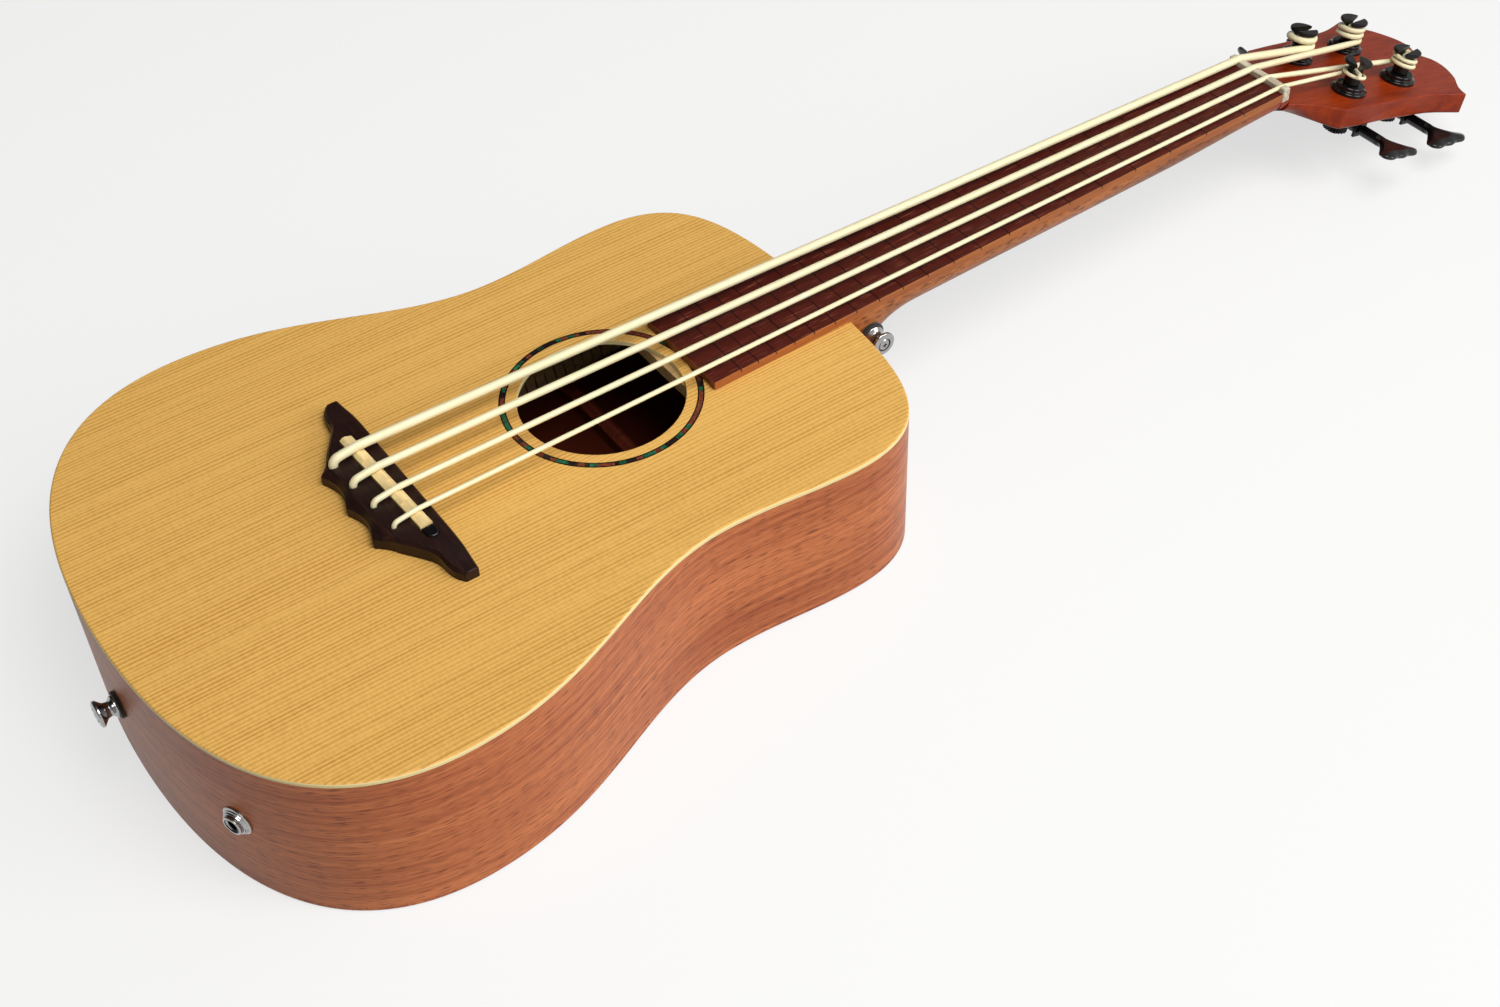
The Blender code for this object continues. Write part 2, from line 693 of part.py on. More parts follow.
BOARD_LOW = GAP
BOARD_TOP = GAP + BOARD_THICK


def make_board():
    near, far = BOARD_END_Y, SCALE_LENGTH - GAP
    outline = [(board_half(near), near), (board_half(far), far),
               (-board_half(far), far), (-board_half(near), near)]
    board = add("fingerboard", flat_mesh([outline], BOARD_LOW, BOARD_TOP), ROSEWOOD)
    build = bmesh.new()
    for line in range(1, FRET_LINES + 1):
        y = SCALE_LENGTH * 2 ** (-line / 12)
        size = Matrix.Diagonal((100 * MM, LINE_WIDE, 2 * LINE_DEEP, 1))
        bmesh.ops.create_cube(build, size=1, matrix=Matrix.Translation((0, y, BOARD_TOP)) @ size)
    combine(board, [cutter("fret_lines", finished(build))])

    nut_half = NUT_WIDTH / 2 + 0.3 * MM
    block = add("nut", span_mesh((-nut_half, nut_half), (SCALE_LENGTH, SCALE_LENGTH + NUT_LONG),
                                 (GAP - NUT_LEDGE, NUT_TOP)), BONE)
    soften(block, NUT_ROUNDING, 2)
    combine(block, [nut_slot(key) for key in STRINGS])


def nut_slot(key):
    """A groove that follows the string's own bend over the nut."""
    string = STRINGS[key]
    path = string_corners(key)
    reach = 8 * MM
    ahead = path[3] - (path[3] - path[2]).normalized() * reach
    behind = path[3] + (path[4] - path[3]).normalized() * reach
    points = round_corners([ahead, path[3], behind], [NUT_BEND])
    return cutter("nut_slot_" + key, tube_mesh(points, string["thick"] / 2 + GAP, 2))


def neck_ring(y, half, deep):
    """A D-shaped section of the neck: flat on top, rounded below."""
    ring = []
    for i in range(NECK_SIDES + 1):
        angle = pi * i / NECK_SIDES
        ring.append((-half * cos(angle), y, -deep * sin(angle) ** 0.85))
    return ring


def neck_depth(y):
    heel_start = NECK_END_Y + HEEL_LONG
    share = min(1, max(0, (y - heel_start) / (SCALE_LENGTH - heel_start)))
    plain = NECK_DEPTH_HEEL + (NECK_DEPTH_NUT - NECK_DEPTH_HEEL) * share
    deepest = -back_outer(NECK_END_Y) - HEEL_ABOVE_BACK
    rise = min(1, max(0, (heel_start - y) / HEEL_LONG))
    return plain + (deepest - plain) * rise ** 3


def heel_half(y, z):
    """Half the heel's width at y and at height z, from the same section as neck_ring."""
    share = min(1, abs(z) / neck_depth(y))
    return board_half(y) * sqrt(1 - share ** (2 / 0.85))


HEAD_HALF = [
    ("corner", 22, -3), ("corner", 22, 0), ("smooth", 25.5, 11), ("smooth", 32, 22), ("corner", 39.5, 31),
    ("smooth", 40.5, 50), ("smooth", 41, 70), ("smooth", 42.3, 90), ("smooth", 44.5, 108),
    ("corner", 51, 129), ("smooth", 46, 130.5), ("smooth", 40, 134), ("smooth", 35, 139),
    ("smooth", 28, 143.5), ("smooth", 18, 147.5), ("smooth", 9, 147.6), ("corner", 0, 142.5),
]
HEAD_CURVE_STEPS = 2
HEAD_SPARE = 2 * MM


def head_mesh():
    """The headstock's outline, smooth between its corners, as a slab that is planed to its face."""
    half = [(kind, x * MM, v * MM) for kind, x, v in HEAD_HALF]
    knots = half + [(kind, -x, v) for kind, x, v in reversed(half[:-1])]
    curve = bpy.data.curves.new("head", "CURVE")
    curve.dimensions = "2D"
    curve.fill_mode = "BOTH"
    curve.extrude = (HEAD_THICK + HEAD_SPARE) / 2
    line = curve.splines.new("BEZIER")
    line.bezier_points.add(len(knots) - 1)
    line.use_cyclic_u = True
    line.resolution_u = HEAD_CURVE_STEPS
    for point, (kind, x, v) in zip(line.bezier_points, knots):
        point.co = (x, v, (HEAD_SPARE - HEAD_THICK) / 2)
        handle = "AUTO" if kind == "smooth" else "VECTOR"
        point.handle_left_type = handle
        point.handle_right_type = handle
    body = bpy.data.objects.new("head", curve)
    bpy.context.scene.collection.objects.link(body)
    mesh = evaluated_mesh(body)
    bpy.data.objects.remove(body)
    return mesh


def make_neck():
    heel_start = NECK_END_Y + HEEL_LONG
    heel_places = [NECK_END_Y - SIDE_THICK - TENON_LONG] + [NECK_END_Y + HEEL_LONG * i / 8 for i in range(9)]
    shaft_places = [heel_start + (SCALE_LENGTH - heel_start) * share for share in (0.25, 0.5, 0.75, 1)]
    rings = []
    for y in heel_places + shaft_places:
        rings.append(neck_ring(y, board_half(y), neck_depth(y)))
    for past, half, deep in ((7, 22, 17.3), (14, 22, 19), (22, 19, 21.5)):
        rings.append(neck_ring(SCALE_LENGTH + past * MM, half * MM, deep * MM))
    neck = add("neck", loft_mesh(rings, 45), HEAD_WOOD)
    slab = cutter("head_slab", head_mesh(), HEAD)
    combine(neck, [slab], "UNION")
    above = cutter("above_head", span_mesh((-60 * MM, 60 * MM), (0, 200 * MM), (0, 60 * MM)), HEAD)
    ledge = cutter("nut_ledge", span_mesh((-60 * MM, 60 * MM), (SCALE_LENGTH - GAP, HEAD_Y + 1.5 * MM),
                                          (-NUT_LEDGE, 60 * MM)))
    shell = [(x, y) for x, y in half_outline(-GAP)]
    body = cutter("body_space", flat_mesh([mirrored(shell)], -200 * MM, 60 * MM))
    tenon = span_mesh((-TENON_HALF, TENON_HALF), (NECK_END_Y - SIDE_THICK - TENON_LONG, NECK_END_Y + 4 * MM),
                      (back_inner(NECK_END_Y) + 2 * MM, WALL_HIGH))
    combine(body, [cutter("tenon", tenon)])
    combine(neck, [above, ledge, body])
    holes = [cutter("bush_hole_" + key, cylinder_mesh(BUSH_TUBE_RADIUS + GAP, -40 * MM, 40 * MM, sides=20,
                                                      at=(tuner["x"], tuner["along"], 0)), HEAD)
             for key, tuner in TUNERS.items()]
    screw_bore = cylinder_mesh(SCREW_RADIUS + GAP, -SCREW_DEEP - 3 * MM, 12 * MM, "X", heel_seat(), 16)
    combine(neck, holes + [cutter("heel_screw", screw_bore)])


def heel_seat():
    """The point on the heel's treble side where the strap button's washer sits."""
    y, z = HEEL_BUTTON
    return (heel_half(y, z + FELT_RADIUS), y, z)


# Bridge, saddle and pickup
def bridge_rear(x):
    """The bridge's rear edge: arcs between three points in the middle, then swept wings."""
    reach = abs(x)
    if reach <= SPIKE_X:
        return SPIKE_Y + SCALLOP_DEEP * sin(pi * reach / SPIKE_X)
    wing = ((SPIKE_X, SPIKE_Y), (31 * MM, -22 * MM), (37 * MM, -18.2 * MM), (42 * MM, -14.6 * MM),
            (47 * MM, -11.2 * MM), (51 * MM, -8.8 * MM), (55 * MM, -7.6 * MM), (60 * MM, -7.2 * MM),
            (66 * MM, -5.6 * MM), (BRIDGE_TIP_X, BRIDGE_TIP_REAR))
    for (x0, y0), (x1, y1) in zip(wing, wing[1:]):
        if reach <= x1:
            return y0 + (y1 - y0) * (reach - x0) / (x1 - x0)
    return BRIDGE_TIP_REAR


def bridge_front(x):
    past = max(0, abs(x) - 55 * MM) / (BRIDGE_TIP_X - 55 * MM)
    return BRIDGE_FRONT + (BRIDGE_TIP_FRONT - BRIDGE_FRONT) * past


def bridge_height(x):
    past = min(1, max(0, (abs(x) - 44 * MM) / (BRIDGE_TIP_X - 44 * MM)))
    return BRIDGE_TOP + (BRIDGE_TIP_HIGH - BRIDGE_TOP) * past * past * (3 - 2 * past)


def make_bridge():
    places = [SPIKE_X * i / 6 for i in range(7)]
    places += [31 * MM, 37 * MM, 42 * MM, 47 * MM, 51 * MM, 55 * MM, 60 * MM, 66 * MM, BRIDGE_TIP_X]
    rings = []
    for x in [-x for x in reversed(places[1:])] + places:
        front, rear, top = bridge_front(x), bridge_rear(x), bridge_height(x)
        ledge = max(rear + 1.6 * MM, BRIDGE_LEDGE_Y)
        drop = 3.0 * MM if abs(x) <= 31 * MM else 1.6 * MM
        rings.append([(x, front, GAP), (x, front, top - 0.9 * MM), (x, front - 0.9 * MM, top),
                      (x, ledge, top), (x, rear, top - drop), (x, rear, GAP)])
    bridge = add("bridge", loft_mesh(rings, 25), DARK_WOOD)
    slant = saddle_turn()
    slot_end = SADDLE_ENDS[1] + PLUG_LONG + 2 * GAP
    middle = (SADDLE_ENDS[0] + SADDLE_ENDS[1]) / 2
    half = SADDLE_WIDE / 2 + GAP
    slot = cutter("saddle_slot", span_mesh((SADDLE_ENDS[0] - GAP - middle, slot_end - half - middle),
                                           (-half, half), (SLOT_FLOOR, 20 * MM)))
    round_end = cutter("slot_end", cylinder_mesh(half, SLOT_FLOOR, 20 * MM, sides=24,
                                                 at=(slot_end - half - middle, 0, 0)))
    for tool in (slot, round_end):
        tool.location = (middle, saddle_y(middle), 0)
        tool.rotation_euler = (0, 0, slant)
    combine(bridge, [slot, round_end] + [string_hole(key, MM) for key in STRINGS] + [lead_hole(MM)])

    long = SADDLE_ENDS[1] - SADDLE_ENDS[0]
    wide = SADDLE_WIDE / 2
    low = SLOT_FLOOR + PICKUP_THICK + 2 * GAP
    shoulder = SADDLE_CROWN - 0.9 * MM
    section = ((wide, low), (wide, shoulder), (0.8 * MM, SADDLE_CROWN), (-0.8 * MM, SADDLE_CROWN),
               (-wide, shoulder), (-wide, low))
    saddle = add("saddle", loft_mesh([[(x, y, z) for y, z in section] for x in (-long / 2, long / 2)]), BONE)
    narrow = wide - 0.4 * MM
    flat = span_mesh((-long / 2 + MM, long / 2 - MM), (-narrow, narrow),
                     (SLOT_FLOOR + GAP, SLOT_FLOOR + GAP + PICKUP_THICK))
    strip = add("pickup_strip", flat, BRASS)
    plug = add("saddle_slot_plug", plug_mesh(), BLACK_PLASTIC)
    for piece in (saddle, strip, plug):
        piece.location = (middle, saddle_y(middle), 0)
        piece.rotation_euler = (0, 0, slant)
    soften(plug, 0.7 * MM, 1, 60)


def plug_mesh():
    """The black filler beyond the saddle: a bar with one round end, a little above the bridge."""
    middle = (SADDLE_ENDS[0] + SADDLE_ENDS[1]) / 2
    radius = SADDLE_WIDE / 2
    start = SADDLE_ENDS[1] + GAP - middle
    end = SADDLE_ENDS[1] + PLUG_LONG + GAP - middle
    arc = [(end - radius + radius * cos(a), radius * sin(a)) for a in (pi * (i / 8 - 0.5) for i in range(9))]
    outline = arc + [(start, radius), (start, -radius)]
    return flat_mesh([outline], SLOT_FLOOR + GAP, BRIDGE_TOP + PLUG_PROUD, 50)


def saddle_turn():
    return atan2(SADDLE_MID_YS[1] - SADDLE_MID_YS[0], SADDLE_ENDS[1] - SADDLE_ENDS[0])


# Strings
def head_point(x, along, out):
    return HEAD_ORIGIN + HEAD_TURN @ Vector((x, along, out))


def to_head(point):
    return HEAD_TURN.inverted() @ (Vector(point) - HEAD_ORIGIN)


def coil_way(key):
    """How a string meets its post: winding sense, angle where it arrives, and the coil's radius."""
    string, tuner = STRINGS[key], TUNERS[key]
    thin = string["thick"] / 2 * string["squeeze"]
    radius = POST_NECK_RADIUS + thin + COIL_CLEAR
    sense = -tuner["side"]
    nut = to_head(nut_point(key))
    offset = Vector((nut.x - tuner["x"], nut.y - tuner["along"]))
    arrive = atan2(offset.y, offset.x) + sense * acos(radius / offset.length)
    return sense, arrive, radius


def coil_height(key, turn):
    """The coil's height after some turns: each turn is flat where it starts and climbs opposite."""
    string = STRINGS[key]
    pitch = string["thick"] * string["squeeze"] + COIL_PITCH_SPARE
    return string["start"] + pitch * (turn - sin(2 * pi * turn) / (2 * pi))


def nut_point(key):
    string = STRINGS[key]
    height = BOARD_TOP + STRING_OVER_NUT + string["thick"] / 2
    return Vector((string["nut_x"], SCALE_LENGTH + NUT_LONG / 2, height))


def string_corners(key):
    """The string's straight run: knot, hole mouth, saddle, nut, and where it meets the post."""
    string, tuner = STRINGS[key], TUNERS[key]
    radius = string["thick"] / 2
    x, y = string["bridge_x"], string["hole_y"]
    knot_top = WALL_HIGH - BRIDGE_PLATE_THICK - radius * KNOT_SWELL
    mouth = BRIDGE_TOP + radius + 0.35 * MM
    crown = Vector((x, saddle_y(x), SADDLE_CROWN + radius + STRING_LIFT))
    _, arrive, coil = coil_way(key)
    start = head_point(tuner["x"] + coil * cos(arrive), tuner["along"] + coil * sin(arrive),
                       string["start"])
    return [Vector((x, y, knot_top - KNOT_LONG)), Vector((x, y, mouth)), crown, nut_point(key), start]


def coil_points(key):
    """The turns on the post, then the bend into the post's slot, in the head's frame."""
    string, tuner = STRINGS[key], TUNERS[key]
    sense, arrive, radius = coil_way(key)
    slot = radians(string["slot"])
    lead_in = radians(SLOT_LEAD_IN)
    part = (sense * (slot - arrive)) % (2 * pi)
    sweep = 2 * pi * string["turns"] + part - lead_in
    count = ceil(sweep / (2 * pi) * LOOP_POINTS)
    points = []
    for i in range(1, count + 1):
        angle = sweep * i / count
        height = coil_height(key, angle / (2 * pi))
        way = arrive + sense * angle
        points.append(Vector((radius * cos(way), radius * sin(way), height)))
    level = points[-1].z
    outer = radius / cos(lead_in)
    corner = Vector((outer * cos(slot), outer * sin(slot), level))
    inner = Vector((string["stub"] * cos(slot), string["stub"] * sin(slot), level + string["rise"]))
    bend = outer * sin(lead_in) / tan((pi / 2 + lead_in) / 2) * 0.97
    rounded = round_corners([points[-1], corner, inner], [bend], 20)
    return [point + Vector((tuner["x"], tuner["along"], 0)) for point in points[:-1] + rounded]


def string_path(key):
    """Every point of one string with its thickness factor."""
    string = STRINGS[key]
    radius = string["thick"] / 2
    corners = string_corners(key)
    path = round_corners(corners, [radius + HOLE_BEND_SPARE, SADDLE_BEND, NUT_BEND])
    knot_end = corners[0].z
    knot = [Vector((corners[0].x, corners[0].y, knot_end + KNOT_LONG * share)) for share in (0, 0.2, 0.8, 1)]
    factors = [0.9, KNOT_SWELL, KNOT_SWELL, 1.0]
    straight = path[1:-1]
    near_post = path[-1] + (straight[-1] - path[-1]).normalized() * SQUEEZE_LONG
    run = knot + straight + [near_post, path[-1]]
    factors += [1.0] * (len(straight) + 1) + [string["squeeze"]]
    turns = [head_point(*point) for point in coil_points(key)]
    return run + turns, factors + [string["squeeze"]] * len(turns)


def least_gap(points, radii):
    """The least gap between parts of one tube that are further apart along it than they are thick."""
    travelled = [0.0]
    for a, b in zip(points, points[1:]):
        travelled.append(travelled[-1] + (b - a).length)
    least = 1.0
    for i, a in enumerate(points):
        for j in range(i + 1, len(points)):
            if travelled[j] - travelled[i] > 5 * (radii[i] + radii[j]):
                least = min(least, (points[j] - a).length - radii[i] - radii[j])
    return least


def make_strings():
    for key, string in STRINGS.items():
        points, factors = string_path(key)
        radius = string["thick"] / 2
        body = bpy.data.objects.new("string_" + key, tube_curve(points, radius, factors, 1))
        body.data.materials.append(POLYMER)
        PIECES.objects.link(body)
        body.parent = INSTRUMENT
        fine = []
        sizes = []
        for a, b, fa, fb in zip(points, points[1:], factors, factors[1:]):
            steps = max(1, int((b - a).length / MM))
            fine += [a + (b - a) * (k / steps) for k in range(steps)]
            sizes += [radius * (fa + (fb - fa) * k / steps) for k in range(steps)]
        gap = least_gap(fine[-260:], sizes[-260:])
        print("string", key, "least gap to itself", round(gap / MM, 2), "mm,", len(points), "points")


# Tuners
WORM_OFFSET = GEAR_RADIUS + WORM_RADIUS + GAP


def make_bushing(key, tuner):
    body = add("tuner_bushing_" + key, turned([
        (TIER_RADIUS - 0.7 * MM, TIER_TOP), (TIER_RADIUS, TIER_TOP - 0.7 * MM),
        (TIER_RADIUS, FLANGE_THICK + 0.5 * MM), (FLANGE_RADIUS - 0.8 * MM, FLANGE_THICK),
        (FLANGE_RADIUS, FLANGE_THICK - 0.7 * MM), (FLANGE_RADIUS, GAP), (BUSH_TUBE_RADIUS, GAP),
        (BUSH_TUBE_RADIUS, -BUSH_TUBE_LONG), (POST_SHAFT_RADIUS + GAP, -BUSH_TUBE_LONG),
        (POST_SHAFT_RADIUS + GAP, TIER_TOP)], True), BLACK_METAL, HEAD)
    body.location = (tuner["x"], tuner["along"], 0)
    spin(body, 20)


def make_post(key, tuner):
    gear_high = -(GEAR_DEPTH - GEAR_THICK / 2)
    gear_low = -(GEAR_DEPTH + GEAR_THICK / 2)
    plate_low = -(HEAD_THICK + GAP + PLATE_THICK)
    shoulder = POST_SHOULDER_RADIUS
    body = add("tuner_post_" + key, turned([
        (0, POST_TOP), (CAP_RADIUS - 0.5 * MM, POST_TOP), (CAP_RADIUS, POST_TOP - 0.5 * MM),
        (CAP_RADIUS, CAP_UNDER + 0.4 * MM), (CAP_RADIUS - 0.8 * MM, CAP_UNDER),
        (POST_NECK_RADIUS, CAP_UNDER - 0.2 * MM), (POST_NECK_RADIUS - 0.3 * MM, (CAP_UNDER + TIER_TOP) / 2),
        (POST_NECK_RADIUS, TIER_TOP + GAP), (POST_SHAFT_RADIUS, TIER_TOP + GAP),
        (POST_SHAFT_RADIUS, plate_low - GAP), (shoulder, plate_low - GAP), (shoulder, gear_high + GAP),
        (POST_SHAFT_RADIUS, gear_high + GAP), (POST_SHAFT_RADIUS, gear_low - GAP),
        (shoulder, gear_low - GAP), (shoulder - 0.4 * MM, gear_low - 1.6 * MM), (0, gear_low - 1.6 * MM)]),
        BLACK_METAL, HEAD)
    body.location = (tuner["x"], tuner["along"], 0)
    spin(body, 18)
    space = box_mesh((30 * MM, SLOT_WIDE, 20 * MM), (0, 0, SLOT_DEEP + 10 * MM))
    slot = cutter("post_slot_" + key, space, HEAD)
    slot.location = body.location
    slot.rotation_euler = (0, 0, radians(STRINGS[key]["slot"]))
    combine(body, [slot])


def make_gear(key, tuner):
    outline = []
    for tooth in range(GEAR_TEETH):
        for share, radius in ((0.0, GEAR_RADIUS - TOOTH_HIGH), (0.5, GEAR_RADIUS)):
            angle = 2 * pi * (tooth + share) / GEAR_TEETH
            outline.append((radius * cos(angle), radius * sin(angle)))
    low = -(GEAR_DEPTH + GEAR_THICK / 2)
    mesh = flat_mesh([outline, circle(POST_SHAFT_RADIUS + GAP, 16)], low, low + GEAR_THICK)
    body = add("tuner_gear_" + key, mesh, BRASS, HEAD)
    body.location = (tuner["x"], tuner["along"], 0)


def key_outline():
    """The finger piece: it flares from its stem to two round lobes with a low bump between them."""
    half = [(u * KEY_LONG, v * KEY_HALF_WIDE) for u, v in KEY_HALF]
    return half + [(u, -v) for u, v in reversed(half[:-1])]


def make_key(key, tuner):
    """Shaft, worm, collar and finger piece: turned about the shaft's axis, which is local X."""
    side = tuner["side"]
    rings = []
    profile = [(KEY_SHAFT_END, KEY_SHAFT_RADIUS), (-WORM_HALF, KEY_SHAFT_RADIUS),
               (-WORM_HALF, WORM_RADIUS), (WORM_HALF, WORM_RADIUS), (WORM_HALF, KEY_SHAFT_RADIUS),
               (KEY_COLLAR_START, KEY_SHAFT_RADIUS), (KEY_COLLAR_START, KEY_COLLAR_RADIUS),
               (KEY_START + 1.5 * MM, KEY_COLLAR_RADIUS)]
    for u, radius in profile:
        rings.append([(side * u, radius * cos(pi * i / 6), radius * sin(pi * i / 6)) for i in range(12)])
    body = add("tuner_key_" + key, loft_mesh(rings, 40), BLACK_PLASTIC, HEAD)
    leaf_mesh = flat_mesh([[(side * (KEY_START + u), v) for u, v in key_outline()]],
                          -KEY_THICK / 2, KEY_THICK / 2, 50)
    leaf = cutter("key_leaf_" + key, leaf_mesh, HEAD)
    soften(leaf, KEY_ROUNDING, 1, 50)
    for piece in (body, leaf):
        piece.location = (tuner["x"], tuner["along"] + WORM_OFFSET, -GEAR_DEPTH)
        piece.rotation_euler = (side * radians(tuner["turned"]), 0, 0)
    combine(body, [leaf], "UNION")


def make_plate(key, tuner):
    """The plate under the head with two ears that carry the key's shaft."""
    side = tuner["side"]
    high = -(HEAD_THICK + GAP)
    low = high - PLATE_THICK
    xs = sorted((side * PLATE_ENDS[0], side * PLATE_ENDS[1]))
    flat = span_mesh(xs, (PLATE_LOW_EDGE, WORM_OFFSET + PLATE_PAST_SHAFT), (low, high))
    body = add("tuner_plate_" + key, flat, BLACK_METAL, HEAD)
    body.location = (tuner["x"], tuner["along"], 0)
    sunk = high - 0.2 * MM
    ears = bmesh.new()
    for sign in (-1, 1):
        size = (EAR_THICK, EAR_WIDE, GEAR_DEPTH + EAR_PAST_SHAFT + sunk)
        place = Matrix.Translation((sign * EAR_U, WORM_OFFSET, sunk - size[2] / 2))
        bmesh.ops.create_cube(ears, size=1, matrix=place @ Matrix.Diagonal((*size, 1)))
    ear = cutter("ears_" + key, finished(ears), HEAD)
    through = cylinder_mesh(POST_SHAFT_RADIUS + GAP, -30 * MM, 0, sides=24)
    post_hole = cutter("plate_post_" + key, through, HEAD)
    across = cylinder_mesh(KEY_SHAFT_RADIUS + GAP, -30 * MM, 30 * MM, "X", (0, WORM_OFFSET, -GEAR_DEPTH), 20)
    shaft_hole = cutter("plate_shaft_" + key, across, HEAD)
    for tool in (ear, post_hole, shaft_hole):
        tool.location = body.location
    combine(body, [ear], "UNION")
    combine(body, [post_hole, shaft_hole])


def make_tuners():
    for key, tuner in TUNERS.items():
        make_bushing(key, tuner)
        make_post(key, tuner)
        make_gear(key, tuner)
        make_key(key, tuner)
        make_plate(key, tuner)


# Strap buttons and jack
def make_button(name, place, turn):
    """A felt washer, a waisted button and its screw, along local Z away from the seat."""
    base = FELT_THICK + 2 * GAP
    end = base + BUTTON_LONG
    bore = SCREW_RADIUS + GAP
    profile = [(BUTTON_FLANGE_RADIUS - 1.2 * MM, end), (BUTTON_FLANGE_RADIUS, end - 1.0 * MM),
               (BUTTON_FLANGE_RADIUS, end - 1.8 * MM), (BUTTON_WAIST_RADIUS, end - 4.0 * MM),
               (BUTTON_WAIST_RADIUS, base + 2.6 * MM), (BUTTON_BASE_RADIUS, base + 0.8 * MM),
               (BUTTON_BASE_RADIUS, base), (bore, base), (bore, end - 2.6 * MM),
               (SCREW_HEAD_RADIUS + GAP, end - 1.4 * MM), (SCREW_HEAD_RADIUS + GAP, end)]
    button = add(name + "_button", turned(profile, True), CHROME)
    ring = turned([(FELT_RADIUS, GAP + FELT_THICK), (FELT_RADIUS, GAP), (bore, GAP),
                   (bore, GAP + FELT_THICK)], True)
    washer = add(name + "_felt", ring, FELT)
    screw = add(name + "_button_screw", turned([
        (0, end + 0.2 * MM), (SCREW_HEAD_RADIUS - 1.0 * MM, end + 0.1 * MM),
        (SCREW_HEAD_RADIUS, end - 0.4 * MM), (SCREW_HEAD_RADIUS, end - 1.0 * MM),
        (SCREW_RADIUS, end - 2.2 * MM), (SCREW_RADIUS, 2 * MM - SCREW_DEEP), (0, -SCREW_DEEP)]), CHROME)
    for piece in (button, washer, screw):
        piece.location = place
        piece.rotation_euler = turn
        spin(piece, 16)


JACK_SPOT = bezier(OUTLINE[0], JACK_ALONG)
JACK_NORMAL = outline_normal(OUTLINE[0], JACK_ALONG)
JACK = bpy.data.objects.new("jack_frame", None)
JACK.parent = INSTRUMENT
JACK.location = (JACK_SPOT.x, JACK_SPOT.y, JACK_Z)
JACK.rotation_euler = (0, pi / 2, atan2(JACK_NORMAL.y, JACK_NORMAL.x))
bpy.context.scene.collection.objects.link(JACK)


def make_jack():
    inside = JACK_SHOULDER
    back = inside - JACK_HOUSING_LONG
    barrel = add("jack_barrel", turned([
        (JACK_BARREL_RADIUS - 0.5 * MM, JACK_OUT), (JACK_BARREL_RADIUS, JACK_OUT - 0.5 * MM),
        (JACK_BARREL_RADIUS, inside), (JACK_HOUSING_RADIUS, inside), (JACK_HOUSING_RADIUS, back), (0, back),
        (0, back + 2.5 * MM), (JACK_BORE_RADIUS, back + 2.5 * MM), (JACK_BORE_RADIUS, JACK_OUT - 1.6 * MM),
        (JACK_MOUTH_RADIUS, JACK_OUT - 0.6 * MM), (JACK_MOUTH_RADIUS, JACK_OUT)], True), BLACK_METAL, JACK)
    spin(barrel, 20)
    build = bmesh.new()
    bmesh.ops.create_cone(build, cap_ends=True, segments=6, radius1=JACK_NUT_RADIUS, radius2=JACK_NUT_RADIUS,
                          depth=JACK_NUT_THICK, matrix=Matrix.Translation((0, 0, GAP + JACK_NUT_THICK / 2)))
    nut = add("jack_nut", finished(build), CHROME, JACK)
    bore = cylinder_mesh(JACK_BARREL_RADIUS + GAP, -5 * MM, 9 * MM, sides=24)
    combine(nut, [cutter("jack_nut_bore", bore, JACK)])


def make_lead():
    """The pickup's lead: down through bridge and top, then in a slack curve to the jack's back."""
    back = JACK_SHOULDER - JACK_HOUSING_LONG
    y = saddle_y(LEAD_X)
    end = Vector((JACK_SPOT.x, JACK_SPOT.y, JACK_Z)) + Vector((*JACK_NORMAL, 0)) * (back - GAP)
    lead_in = end - Vector((*JACK_NORMAL, 0)) * 10 * MM
    route = [Vector((LEAD_X, y, SLOT_FLOOR)), Vector((LEAD_X, y, -8 * MM)),
             Vector((LEAD_X + 1 * MM, y - 5 * MM, -17 * MM)), Vector((42 * MM, -34 * MM, -27 * MM)),
             Vector((56 * MM, -66 * MM, -36 * MM)), lead_in, end]
    points = [route[0]]
    down = route[1] - route[0]
    tangents = [down, down] + [b - a for a, b in zip(route[1:], route[3:])] + [route[-1] - route[-2]]
    for i, (a, b) in enumerate(zip(route, route[1:])):
        reach = (b - a).length
        first = tangents[i].normalized() * reach
        last = tangents[i + 1].normalized() * reach
        steps = max(2, int(reach / (7 * MM)))
        for k in range(1, steps + 1):
            s = k / steps
            points.append(a * (2 * s ** 3 - 3 * s * s + 1) + first * (s ** 3 - 2 * s * s + s)
                          + b * (3 * s * s - 2 * s ** 3) + last * (s ** 3 - s * s))
    body = bpy.data.objects.new("pickup_lead", tube_curve(points, LEAD_RADIUS, None, 2))
    body.data.materials.append(CABLE)
    PIECES.objects.link(body)
    body.parent = INSTRUMENT


make_body()
make_rosette()
make_braces()
make_board()
make_neck()
make_bridge()
make_strings()
make_tuners()
make_button("tail", (0, TAIL_Y, TAIL_BUTTON_Z), (pi / 2, 0, 0))
make_button("heel", heel_seat(), (0, pi / 2, 0))
make_jack()
make_lead()
bpy.context.view_layer.update()
